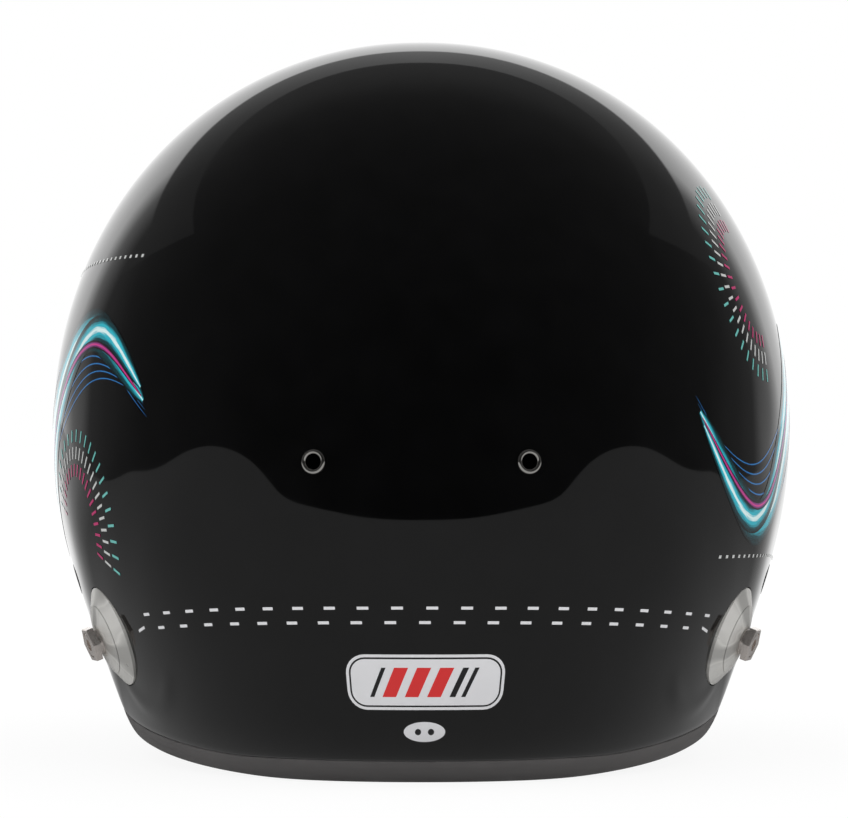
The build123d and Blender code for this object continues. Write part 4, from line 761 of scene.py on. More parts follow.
@dataclass
class Films:
    """Printed films on the rear of the shell: dashes, a badge plate and a small oval."""

    lift: float = 0.035
    level: float = 54.0
    dash: tuple[float, float] = (3.6, 0.92)
    pitch: float = 10.7
    rows: tuple[tuple[float, float, float, float], ...] = ((56.1, 7.4, 8.2, 0.72), (51.6, 9.6, 10.3, 0.40))
    counts: tuple[int, int] = (-11, 9)
    plate: tuple[float, float, float] = (48.4, 17.4, 32.9)
    oval: tuple[float, float, float] = (6.7, 3.2, 17.2)
    bar_height: float = 9.2
    bar_slant: float = 0.42
    half_run: float = 106.0
    sink: float = 4.4
    end_dip: float = 0.2

    def build(self) -> None:
        """Make and dress every film."""
        white = film("printed_white", (0.80, 0.80, 0.82)).material()
        red = film("printed_red", (0.72, 0.035, 0.035)).material()
        black = film("printed_black", (0.01, 0.01, 0.011)).material()
        dashes = self.make_dashes()
        settle(dashes, white, "shell_paint")
        for name, outline, level, material in self.badge_layers(white, red, black):
            piece = self.make_patch(name, outline, level)
            settle(piece, material, "shell_paint")

    def drop(self, arc: Array) -> Array:
        """How far the dash rows sink towards the sides: a square of the arc."""
        return self.sink * (arc / self.half_run) ** 2

    def make_dashes(self) -> Piece:
        """Two rows of short dashes between the anchors, each one a small curved grid.

        Along a row the even steps are stretched by k u^2 (u^2 - b), where u is the arc as a share
        of the whole. The lower row's last dash at each end is longer and dips outward by a slope.
        """
        first, last = self.counts
        centre = []
        for row, (level, start, stretch, turn) in enumerate(self.rows):
            count = np.arange(first, last + 1)
            arc = start + self.pitch * count
            share = (arc / self.half_run) ** 2
            arc = arc + np.sign(arc) * stretch * share * (share - turn)
            ends = row * ((count == first) | (count == last))
            centre.append(np.stack([arc, np.full(len(count), level), ends], axis=-1))
        centre = np.concatenate(centre)
        along, up = np.meshgrid(np.linspace(-0.5, 0.5, 7), np.linspace(-0.5, 0.5, 4))
        end = centre[:, 2, None, None]
        arc = centre[:, 0, None, None] + along * self.dash[0] * (1 + 0.38 * end)
        dip = end * np.sign(arc) * (arc - centre[:, 0, None, None]) * self.end_dip
        height = centre[:, 1, None, None] + up * self.dash[1] - self.drop(arc) - dip
        points = FORM.skin(FORM.turn_of_arc(arc, self.level), height, self.lift)
        faces = repeated(grid_faces(4, 7), 28, len(centre))
        return thicken(new_piece("dash_rows", points, faces, closed=False))

    def badge_layers(self, white: Material, red: Material,
                     black: Material) -> list[tuple[str, Array, float, Material]]:
        """Outlines of the badge plate, its rim line and slanted bars, and the small oval."""
        layers = []
        turn = np.linspace(0, 2 * pi, 64, endpoint=False)
        wide, tall, level = self.oval
        oval = np.stack([wide * np.cos(turn) - 1.0, tall * np.sin(turn) + level], axis=-1)
        layers.append(("size_oval", oval, 1.0, white))
        for number, centre in enumerate((-3.1, 1.1)):
            dot = np.stack([1.0 * np.cos(turn) + centre, 1.0 * np.sin(turn) + level], axis=-1)
            layers.append((f"size_dot_{number}", dot, 2.0, black))
        wide, tall, level = self.plate
        middle = np.array([-1.3, level])
        rims = (("badge_plate", 0.0, 1.0, white), ("badge_line", 0.9, 2.0, black),
                ("badge_face", 1.45, 3.0, white))
        for name, inset, layer, material in rims:
            outline = rounded_outline(wide - 2 * inset, tall - 2 * inset, 6.0 - inset, 8) + middle
            layers.append((name, outline, layer, material))
        bars = ((14.6, 1.3, black), (9.3, 4.2, red), (2.4, 4.2, red), (-4.5, 4.2, red),
                (-10.2, 1.8, black), (-13.6, 1.3, black))
        square = np.array([[-0.5, -0.5], [0.5, -0.5], [0.5, 0.5], [-0.5, 0.5]])
        for number, (place, width, material) in enumerate(bars):
            corners = square * np.array([width, self.bar_height])
            corners[:, 0] += place - self.bar_slant * corners[:, 1]
            layers.append((f"badge_bar_{number}", corners + middle, 4.0, material))
        return layers

    def make_patch(self, name: str, outline: Array, level: float) -> Piece:
        """Curved film inside a convex outline of arc and height: rings drawn in to its middle."""
        middle = outline.mean(axis=0)
        shares = np.linspace(1.0, 0.0, 14)[:, None, None]
        dense = resample(outline, 160)
        ring = middle + (dense - middle) * shares
        points = FORM.skin(FORM.turn_of_arc(ring[..., 0], 30.0), ring[..., 1], self.lift * level)
        return thicken(new_piece(name, points, grid_faces(14, len(dense), closed_columns=True), closed=False))


def resample(outline: Array, count: int) -> Array:
    """Points at even steps along a closed outline, with its corners kept close."""
    closed = np.concatenate([outline, outline[:1]])
    lengths = run_lengths(closed)
    places = np.sort(np.concatenate([np.linspace(0, lengths[-1], count, endpoint=False), lengths[:-1]]))
    return at_lengths(places, lengths, closed)


def thicken(piece: Piece, depth: float = 0.05) -> Piece:
    """Give a film its thickness, inward from its face."""
    work = bmesh.new()
    work.from_mesh(piece.data)
    centre = sum((face.calc_center_median() for face in work.faces), Vector()) / len(work.faces)
    outward = sum((face.normal * face.calc_area() for face in work.faces), Vector())
    if outward.dot(centre - Vector((0, PLAN_SHIFT * MM, 0.1))) < 0:
        bmesh.ops.reverse_faces(work, faces=work.faces)
    work.to_mesh(piece.data)
    work.free()
    wall = piece.modifiers.new("film", "SOLIDIFY")
    wall.thickness, wall.offset = depth * MM, -1.0
    apply_modifiers(piece)
    piece.data.set_sharp_from_angle(angle=radians(50))
    return piece


# Light trails on the sides


@dataclass(frozen=True)
class TrailFinish:
    """Printed light trail: bright along its middle, with streaks, fading to black at both edges."""

    name: str
    core: Colour
    glow: Colour
    end_glow: Colour | None = None

    def material(self) -> Material:
        """Build the finish on the trail's UV map: u runs along it in millimetres, v from -1 to 1."""
        nodes = Nodes(bpy.data.materials.new(self.name))
        uv = nodes.add("ShaderNodeTexCoord").outputs["UV"]
        split = nodes.add("ShaderNodeSeparateXYZ", {"Vector": uv})
        drawn = nodes.add("ShaderNodeMapping", {"Vector": uv, "Scale": (0.05, 3.0, 1.0)})
        streaks = nodes.add("ShaderNodeTexNoise", {"Vector": drawn.outputs[0], "Scale": 2.2, "Detail": 4.0})
        wander = nodes.math("MULTIPLY", nodes.math("SUBTRACT", streaks.outputs[0], 0.5), 0.5)
        away = nodes.math("ABSOLUTE", nodes.math("ADD", split.outputs[1], wander))
        colour = self.fade(nodes, away, self.glow)
        if self.end_glow:
            along = nodes.math("DIVIDE", split.outputs[0], 130.0)
            blend = {"Factor": along, "A": colour, "B": self.fade(nodes, away, self.end_glow)}
            colour = nodes.add("ShaderNodeMix", blend, data_type="RGBA").outputs["Result"]
        shader = nodes.add("ShaderNodeBsdfPrincipled", {"Base Color": colour, "Roughness": 0.05})
        return nodes.finish(shader)

    def fade(self, nodes: Nodes, away: Socket,
             glow: Colour) -> Socket:
        """Colour by distance from the trail's middle: core, glow, dim glow and the shell's black."""
        dim = tuple(value * 0.13 + 0.002 for value in glow)
        return nodes.ramp(away, [(0.0, self.core), (0.10, self.core), (0.22, glow), (0.36, glow), (0.62, dim),
                                 (1.0, (0.0021, 0.0021, 0.0022))])


@dataclass
class LightTrails:
    """Printed pattern on both sides: waves of light, thin contour lines, ticks and dots."""

    level: float = 108.5
    lift: float = 0.035
    start: float = 101.0
    reach: float = 162.0
    turns: dict[Side, tuple[float, float]] = field(
        default_factory=lambda: {Side.LEFT: (0.85, 0.02), Side.RIGHT: (1.02, 0.50)})
    fan_angles: dict[Side, tuple[float, float]] = field(
        default_factory=lambda: {Side.LEFT: (0.08, 1.14), Side.RIGHT: (0.45, 1.50)})
    fan_centres: dict[Side, tuple[float, float]] = field(
        default_factory=lambda: {Side.LEFT: (152.0, 78.0), Side.RIGHT: (156.0, 158.0)})
    fan_counts: tuple[int, ...] = (19, 23, 21)
    fan_radii: tuple[float, ...] = (19.0, 24.6, 30.2)
    dot_lines: dict[Side, tuple[float, float]] = field(
        default_factory=lambda: {Side.LEFT: (166.0, 10.0), Side.RIGHT: (70.0, 9.0)})
    dot_run: tuple[float, float, float] = (118.0, 262.0, 4.6)

    def build(self) -> None:
        """Make and dress the pattern on both sides."""
        bright = TrailFinish("trail_bright", (0.80, 1.0, 1.0), (0.035, 0.50, 0.62)).material()
        fine = TrailFinish("trail_fine", (0.05, 0.30, 0.62), (0.012, 0.10, 0.34)).material()
        warm = TrailFinish("trail_warm", (0.75, 0.06, 0.30), (0.45, 0.02, 0.16),
                           (0.03, 0.10, 0.45)).material()
        pink = film("printed_pink", (0.50, 0.028, 0.15)).material()
        teal = film("printed_teal", (0.16, 0.52, 0.48)).material()
        white = film("printed_pale", (0.62, 0.63, 0.62)).material()
        for side in Side:
            prints = []
            for number, phase in enumerate((0.0, 0.30)):
                line, half_width = self.wave(side, phase), 8.4 - 2.6 * number
                prints.append((self.trail(side, f"light_{number}", line, half_width, 2.0 + number), bright))
            for number in range(7):
                line = self.wave(side, -0.35 + 0.16 * number, swing=1.0 - 0.09 * number)
                prints.append((self.trail(side, f"contour_{number}", line, 0.55, 1.0), fine))
            prints.append((self.trail(side, "warm", self.wave(side, 0.16, swing=0.85), 1.5, 4.0), warm))
            for ring, (name, material) in enumerate((("inner", pink), ("middle", white), ("outer", teal))):
                prints.append((self.patches(side, f"ticks_{name}", *self.fan(side, ring)), material))
            prints.append((self.patches(side, "dots", *self.dots(side)), white))
            for piece, material in prints:
                settle(piece, material, "shell_paint")

    def wave(self, side: Side, phase: float, swing: float = 1.0) -> Array:
        """Line of a wave, as arc and height.

        The height is a middle level plus a sine of the way along, which swells towards the
        front, and all lines of a side meet near its first node.
        """
        share = np.linspace(0.0, 1.0, 240)
        often, first = self.turns[side]
        turns = 2 * pi * (often * share + first)
        grow = 0.80 + 0.20 * smooth(share * 1.4)
        rise = 36.0 * swing * np.sin(turns + phase * (0.5 + 2.0 * share)) * grow
        middle = 116.0 - 18.0 * share
        return np.stack([self.start + self.reach * share + 6.0 * phase, middle + rise], axis=-1)

    def surface(self, side: Side, arc: Array, height: Array, lift: Array) -> Array:
        """Points on the painted outside by arc from the middle of the rear and height."""
        return FORM.skin(FORM.turn_of_arc(side.value * arc, self.level), height, lift)

    def trail(self, side: Side, name: str, line: Array, half_width: float, layer: float) -> Piece:
        """Ribbon along a line, with its width drawn in at both ends as a root of a sine."""
        aside = sideways(line)
        share = np.linspace(0, 1, len(line))
        taper = np.clip(np.sin(pi * np.clip(share * 1.02, 0.004, 0.996)), 0.0, 1.0) ** 0.45
        across = np.linspace(-1.0, 1.0, 7)
        offset = half_width * taper[:, None] * across[None, :]
        arc = line[:, :1] + aside[:, :1] * offset
        height = line[:, 1:] + aside[:, 1:] * offset
        lengths = run_lengths(line)
        uv = np.stack(np.broadcast_arrays(lengths[:, None], across[None, :]), axis=-1)
        points = self.surface(side, arc, height, self.lift * layer)
        faces = grid_faces(len(line), len(across))
        return thicken(new_piece(f"{side.word}_trail_{name}", points, faces, uv, closed=False))

    def fan(self, side: Side, ring: int) -> tuple[Array, Array, tuple[float, float]]:
        """Centres, directions and size of a ring of ticks that open out like a fan."""
        angle = pi * np.linspace(*self.fan_angles[side], self.fan_counts[ring])
        direction = np.stack([np.cos(angle), np.sin(angle)], axis=-1)
        return np.array(self.fan_centres[side]) + self.fan_radii[ring] * direction, direction, (4.0, 0.85)

    def dots(self, side: Side) -> tuple[Array, Array, tuple[float, float]]:
        """Centres, directions and size of a dotted line that sinks towards the front."""
        first, last, _ = self.dot_run
        level, fall = self.dot_lines[side]
        arc = np.arange(*self.dot_run)
        height = level - fall * ((arc - first) / (last - first)) ** 2
        flat = np.tile([1.0, 0.0], (len(arc), 1))
        return np.stack([arc, height], axis=-1), flat, (1.5, 1.0)

    def patches(self, side: Side, name: str, centre: Array, direction: Array,
                size: tuple[float, float]) -> Piece:
        """Small oblong prints, each a grid turned to its direction."""
        along, across = np.meshgrid(np.linspace(-0.5, 0.5, 5), np.linspace(-0.5, 0.5, 3))
        aside = np.stack([-direction[:, 1], direction[:, 0]], axis=-1)
        place = (centre[:, None, None] + direction[:, None, None] * along[None, ..., None] * size[0]
                 + aside[:, None, None] * across[None, ..., None] * size[1])
        points = self.surface(side, place[..., 0], place[..., 1], self.lift * 4.0)
        faces = repeated(grid_faces(3, 5), 15, len(centre))
        return thicken(new_piece(f"{side.word}_{name}", points, faces, closed=False))


# Padding


def across(form: ShellForm, y: Array, height: Array, inset: Array) -> Array:
    """Half width of a layer at y from the widest line: its side times (1 - |y / reach|^p)^(1/p)."""
    y, height, inset = np.broadcast_arrays(y, height, inset)
    reach = form.reach(height, y > 0, inset)
    power = np.where(y > 0, form.rear_power, form.front_power)
    share = np.clip(1 - (np.abs(y) / reach) ** power, 0.0, 1.0) ** (1 / power)
    return form.side(y, height, inset) * share


def rounded_polygon(corners: Sequence[tuple[float, float, float]], count: int) -> Array:
    """Closed outline through corners given as y, z and radius, at even steps.

    Each corner is an arc: from its start it goes r (sin a) along the first side and
    r (1 - cos a) towards the second one.

    Args:
        corners: Corners in order, each with its radius.
        count: Number of points.

    Returns:
        The points.
    """
    places = np.array([corner[:2] for corner in corners], float)
    parts = []
    for number, (_, _, radius) in enumerate(corners):
        before, here, after = places[number - 1], places[number], places[(number + 1) % len(places)]
        parts.append(corner_arc(before, here, after, radius))
    outline = np.concatenate(parts)
    closed = np.concatenate([outline, outline[:1]])
    lengths = run_lengths(closed)
    steps = np.linspace(0, lengths[-1], count, endpoint=False)
    return at_lengths(steps, lengths, closed)


def corner_arc(before: Array, here: Array, after: Array, radius: float) -> Array:
    """Points of the tangent arc that rounds one corner of a run of straight lines."""
    first = (here - before) / np.linalg.norm(here - before)
    second = (after - here) / np.linalg.norm(after - here)
    turn = np.arccos(np.clip(first @ second, -1.0, 1.0))
    towards = (second - first * np.cos(turn)) / np.sin(turn)
    angle = np.linspace(0.0, turn, 12)[:, None]
    start = here - first * radius * np.tan(turn / 2)
    return start + radius * (np.sin(angle) * first + (1 - np.cos(angle)) * towards)


def tube(name: str, rings: Array, uv: Array | None = None, smooth_angle: float = 40.0) -> Piece:
    """Closed piece of rings, with each end drawn in to the middle of its ring."""
    first, last = (ring.mean(axis=1, keepdims=True) + 0 * ring for ring in (rings[:1], rings[-1:]))
    points = np.concatenate([first, rings, last])
    if uv is not None:
        uv = np.concatenate([uv[:1], uv, uv[-1:]])
    return new_piece(name, points, grid_faces(len(points), rings.shape[1], closed_columns=True), uv,
                     smooth_angle=smooth_angle)


def stitches(name: str, path: Array, outward: Array, pitch: float, length: float,
             radius: float, closed: bool = True) -> Piece:
    """Row of sewn stitches: small ellipsoids along a path, half sunk into the cloth.

    Args:
        name: Name of the piece.
        path: Points of the path.
        outward: Outward directions at the points.
        pitch: Distance from stitch to stitch.
        length: Length of a stitch.
        radius: Half thickness of the thread.
        closed: Whether the path closes on itself.

    Returns:
        The stitches as one piece.
    """
    if closed:
        path, outward = np.concatenate([path, path[:1]]), np.concatenate([outward, outward[:1]])
    lengths = run_lengths(path)
    count = max(int(lengths[-1] / pitch), 1)
    places = (np.arange(count) + 0.5) * lengths[-1] / count
    centre, out = at_lengths(places, lengths, path), at_lengths(places, lengths, outward)
    along = unit(at_lengths(places + 0.2, lengths, path) - at_lengths(places - 0.2, lengths, path))
    out = unit(out - along * np.einsum("ij,ij->i", out, along)[:, None])
    aside = np.cross(along, out)
    turn = np.linspace(0, 2 * pi, 8, endpoint=False)[None, :]
    rise = np.linspace(0, pi, 6)[:, None]
    ball = np.stack([-np.cos(rise) + 0 * turn, np.sin(rise) * np.cos(turn),
                     np.sin(rise) * np.sin(turn)], axis=-1)
    ball = ball.reshape(-1, 3) * np.array([length / 2, radius, radius])
    points = (centre[:, None] + ball[None, :, :1] * along[:, None] + ball[None, :, 1:2] * aside[:, None]
              + ball[None, :, 2:] * out[:, None])
    faces = grid_faces(6, 8, closed_columns=True)
    return new_piece(name, points, repeated(faces, 48, count), smooth_angle=80.0)


def groove(distance: Array, width: float) -> Array:
    """Bell curve of a sewn channel: e to the minus square of distance over width."""
    return np.exp(-((distance / width) ** 2))


@dataclass
class Liner:
    """Removable cloth liner of the crown, quilted into panels."""

    outer: float = 37.7
    inner: float = 45.4
    columns: int = 420
    rear_foot: float = 62.8
    side_foot: float = 94.8
    channel: float = 3.6
    strip: float = 27.0
    bars: tuple[float, ...] = (-46.0, 8.0, 62.0)

    def build(self) -> None:
        """Make and dress the liner."""
        turns = np.linspace(0, 360, self.columns, endpoint=False)
        foot = self.foot(turns)
        shares = np.sin(np.linspace(0, pi / 2, 130))[:, None]
        inner = foot + 4.0 + (FORM.height - self.inner - foot - 4.0) * shares
        outer = foot + 3.0 + (FORM.height - self.outer - foot - 3.0) * shares[::4]
        bend = np.linspace(0, pi, 11)[1:-1, None]
        middle, half = (self.outer + self.inner) / 2, (self.inner - self.outer) / 2
        edge = foot + 4.0 - 4.0 * np.sin(bend)
        rows = [FORM.layer(turns, outer[::-1], self.outer)]
        rows.append(FORM.layer(turns, edge, middle - half * np.cos(bend) + 0 * foot))
        plain = FORM.layer(turns, inner, self.inner)
        rows.append(FORM.layer(turns, inner, self.inner - self.channel * self.channels(plain)))
        points = np.concatenate(rows)
        piece = new_piece("crown_liner", points, grid_faces(len(points), self.columns, closed_columns=True))
        settle(piece, CLOTH.material(), "liner_cloth", "crown_comfort_liner")
        loop = FORM.layer(turns, foot + 7.0, self.inner)
        outward = -FORM.normal(turns, foot + 7.0, self.inner)
        thread = stitches("liner_stitches", loop, outward, 4.2, 3.0, 0.35)
        settle(thread, THREAD.material(), "liner_cloth")

    def foot(self, turns: Array) -> Array:
        """Lower edge by plan turn: over the nape, over the cheek pads and round the eyeport.

        The edge is the highest level at which the liner's outline stops it, taken as the
        largest of its neighbours and then as their mean, which rounds the corners.
        """
        height = np.linspace(55.0, 190.0, 541)[:, None]
        y = FORM.plain(turns, height, (self.outer + self.inner) / 2)[..., 1]
        low = np.where(y > 50.3, self.rear_foot, self.side_foot + np.clip(-34.0 - y, 0.0, None) * 0.144)
        brow = 119.0 + np.sqrt(np.clip(1600.0 - (np.clip(y, -82.0, -42.0) + 82.0) ** 2, 0.0, None))
        low = np.where(y < -42.0, np.maximum(low, brow + 0.8), low)
        edge = np.max(np.where(height < low, height, 0.0), axis=0)
        shifted = np.stack([np.roll(edge, shift) for shift in range(-6, 7)])
        edge = shifted.max(axis=0)
        for _ in range(3):
            edge = np.stack([np.roll(edge, shift) for shift in range(-3, 4)]).mean(axis=0)
        return edge

    def channels(self, points: Array) -> Array:
        """Depth share of the quilting: two lines front to back and bars across them."""
        x, y, z = np.moveaxis(points, -1, 0)
        lines = groove(np.abs(x) - self.strip, 2.0)
        bars = sum(groove(y - PLAN_SHIFT - bar, 2.0) for bar in self.bars) * smooth((z - 120.0) / 20.0)
        return np.clip(np.maximum(lines, bars), 0.0, 1.0)


@dataclass
class CheekPads:
    """Two thick cheek pads with a sewn face panel and a channel behind for the strap."""

    outer: float = 10.2
    inner: float = 41.4
    columns: int = 300
    reach: float = 52.0
    corners: tuple[tuple[float, float, float], ...] = (
        (49.2, 14.8, 14.0), (49.2, 89.2, 15.0), (-33.0, 89.2, 14.0), (-48.4, 73.2, 10.0),
        (-103.2, 73.2, 13.0), (-103.2, 14.8, 15.0))
    panel: float = 17.0
    panel_depth: float = 2.6

    def build(self) -> None:
        """Make and dress both pads and their stitches."""
        cloth, thread = CLOTH.material(), THREAD.material()
        for side in Side:
            pad = self.make_pad(side)
            settle(pad, cloth, "liner_cloth", f"{side.word}_cheek_pad")
            for name, inward in (("edge", 9.5), ("panel", self.panel + 3.4)):
                row = self.stitch_row(side, name, inward)
                settle(row, thread, "liner_cloth")

    def profile(self) -> Array:
        """Rows of distance in from the outline and depth: back, side, crown and face.

        The crown is a quarter ellipse, and the face drops into a channel round its panel.
        """
        back = np.linspace(self.reach, 3.0, 26)
        rows = [np.column_stack([back, np.full(26, self.outer)])]
        bend = np.linspace(0, pi / 2, 6)[1:]
        rows.append(np.column_stack([3 - 3 * np.sin(bend), self.outer + 3 - 3 * np.cos(bend)]))
        depth = np.linspace(14.0, 32.0, 19)
        pull = 1.6 * np.sin(pi * (depth - 13.0) / 20.0) * 0.5 + 1.5 * groove(depth - 30.0, 1.1)
        rows.append(np.column_stack([pull, depth]))
        crown = np.linspace(0, pi / 2, 12)[1:]
        top = self.inner - 1.4
        rows.append(np.column_stack([9 - 9 * np.cos(crown), 33 + (top - 33) * np.sin(crown)]))
        face = np.linspace(9.6, self.reach, 64)
        swell = 1.4 * np.sin(pi / 2 * (face - 9) / (self.reach - 9))
        depth = top + swell - self.panel_depth * groove(face - self.panel, 1.5)
        rows.append(np.column_stack([face, depth]))
        return np.concatenate(rows)

    def at(self, side: Side, inward: Array, depth: Array) -> Array:
        """Points of the pad for distances in from its outline and depths inside the form.

        The outline shrinks towards its middle by one less the distance over the reach. A
        channel for the strap is pressed into the back where it runs.
        """
        outline = rounded_polygon(self.corners, self.columns)
        middle = np.array([-24.0, 50.0])
        share = (1 - inward / self.reach)[:, None, None]
        place = middle + (outline - middle) * share
        y, z = place[..., 0], place[..., 1]
        depth = np.broadcast_to(depth[:, None], y.shape)
        strap = StrapPlace(side)
        flat = np.stack([side.value * across(FORM, y, z, depth), y + PLAN_SHIFT, z], axis=-1)
        aside = np.abs(np.einsum("...i,i->...", flat - strap.origin, strap.level))
        band = smooth((17.5 - aside) / 3.5) * smooth((78.0 - z) / 5.0)
        depth = depth + (16.0 - depth) * band * smooth((22.0 - depth) / 8.0)
        flat[..., 0] = side.value * across(FORM, y, z, depth)
        return flat

    def make_pad(self, side: Side) -> Piece:
        """Closed pad from its profile."""
        profile = self.profile()
        points = self.at(side, profile[:, 0], profile[:, 1])
        faces = grid_faces(len(points), self.columns, closed_columns=True)
        return new_piece(f"{side.word}_cheek_cushion", points, faces, smooth_angle=60.0)

    def stitch_row(self, side: Side, name: str, inward: float) -> Piece:
        """Stitches round the pad's face at a distance in from its outline."""
        profile = self.profile()
        face = profile[-64 - 11:]
        depth = np.interp(inward, face[:, 0], face[:, 1])
        path = self.at(side, np.array([inward]), np.array([depth]))[0]
        deeper = self.at(side, np.array([inward]), np.array([depth + 3.0]))[0]
        return stitches(f"{side.word}_cheek_{name}_stitches", path, deeper - path, 4.4, 3.1, 0.38)


@dataclass
class NeckRoll:
    """Padded roll at the nape, sewn through into short cells."""

    middle_inset: float = 28.8
    half_depth: float = 7.9
    middle_height: float = 28.9
    half_height: float = 16.0
    end: float = 52.0
    cells: int = 9

    def build(self) -> None:
        """Make and dress the roll and its stitches."""
        steps = np.linspace(0.0, 1.0, 261)[:, None]
        loop = np.linspace(0, 2 * pi, 64, endpoint=False)[None, :]
        piece = new_piece("neck_roll", self.at(steps, loop),
                          grid_faces(261, 64, closed_columns=True), smooth_angle=70.0)
        settle(piece, CLOTH.material(), "liner_cloth", "nape_pad")
        for name, angle in (("upper", 1.25), ("lower", -1.25)):
            path = self.at(np.linspace(0.03, 0.97, 200)[:, None], np.array([[angle]]))[:, 0]
            outer = self.at(np.linspace(0.03, 0.97, 200)[:, None], np.array([[angle]]), 1.2)[:, 0]
            row = stitches(f"neck_roll_{name}_stitches", path, outer - path, 4.4, 3.0, 0.36, closed=False)
            settle(row, THREAD.material(), "liner_cloth")

    def at(self, step: Array, angle: Array, swell: float = 1.0) -> Array:
        """Points of the roll: a squarish closed section carried round the nape.

        The section is a superellipse of depth and height, drawn in at both ends as a quarter
        circle and pressed in where it is sewn through.
        """
        step, angle = np.broadcast_arrays(step, angle)
        near = np.clip(np.minimum(step, 1 - step) / 0.045, 0.0, 1.0)
        ends = np.sqrt(np.clip(1 - (1 - near) ** 2, 0.0, 1.0))
        sewn = 1 - 0.26 * groove((step * self.cells + 0.5) % 1 - 0.5, 0.055) * np.clip(np.cos(angle), 0, 1)
        power = 2 / 3.2
        deep = np.sign(np.cos(angle)) * np.abs(np.cos(angle)) ** power * ends * sewn * swell
        tall = np.sign(np.sin(angle)) * np.abs(np.sin(angle)) ** power * ends * swell
        inset = self.middle_inset + self.half_depth * deep
        height = self.middle_height + self.half_height * tall
        reach = FORM.level_size(height, FORM.rear, inset)
        start = np.degrees(np.arcsin(np.clip((self.end / reach) ** (FORM.rear_power / 2), 0, 1)))
        return FORM.layer(start + (180 - 2 * start) * step, height, inset)


# Straps


@dataclass
class StrapPlace:
    """Upright plane that a chin strap lies in: inward, up and level along its width."""

    side: Side
    turn: float = STRAP[0]
    height: float = STRAP[1]

    def __post_init__(self) -> None:
        """Work out the plane's origin and axes."""
        frame_here = FORM.frame_at(side_turn(self.side, self.turn), self.height)
        level = np.array(frame_here.to_3x3().col[0])
        self.level = level / np.linalg.norm(level)
        self.inward = np.array([-self.level[1], self.level[0], 0.0])
        self.origin = np.array(frame_here.translation) / MM * np.array([1.0, 1.0, 0.0])

    def depth(self, height: float, inset: float) -> float:
        """How far inward a layer lies in the plane at one height."""
        point = FORM.layer(np.array(side_turn(self.side, self.turn)), np.array(height), np.array(inset))
        return float((point - self.origin) @ self.inward)

    def world(self, inward: Array, up: Array, level: Array) -> Array:
        """Points in the model's frame for distances along the plane's axes."""
        inward, up, level = np.broadcast_arrays(inward, up, level)
        return (self.origin + inward[..., None] * self.inward + level[..., None] * self.level
                + up[..., None] * np.array([0.0, 0.0, 1.0]))


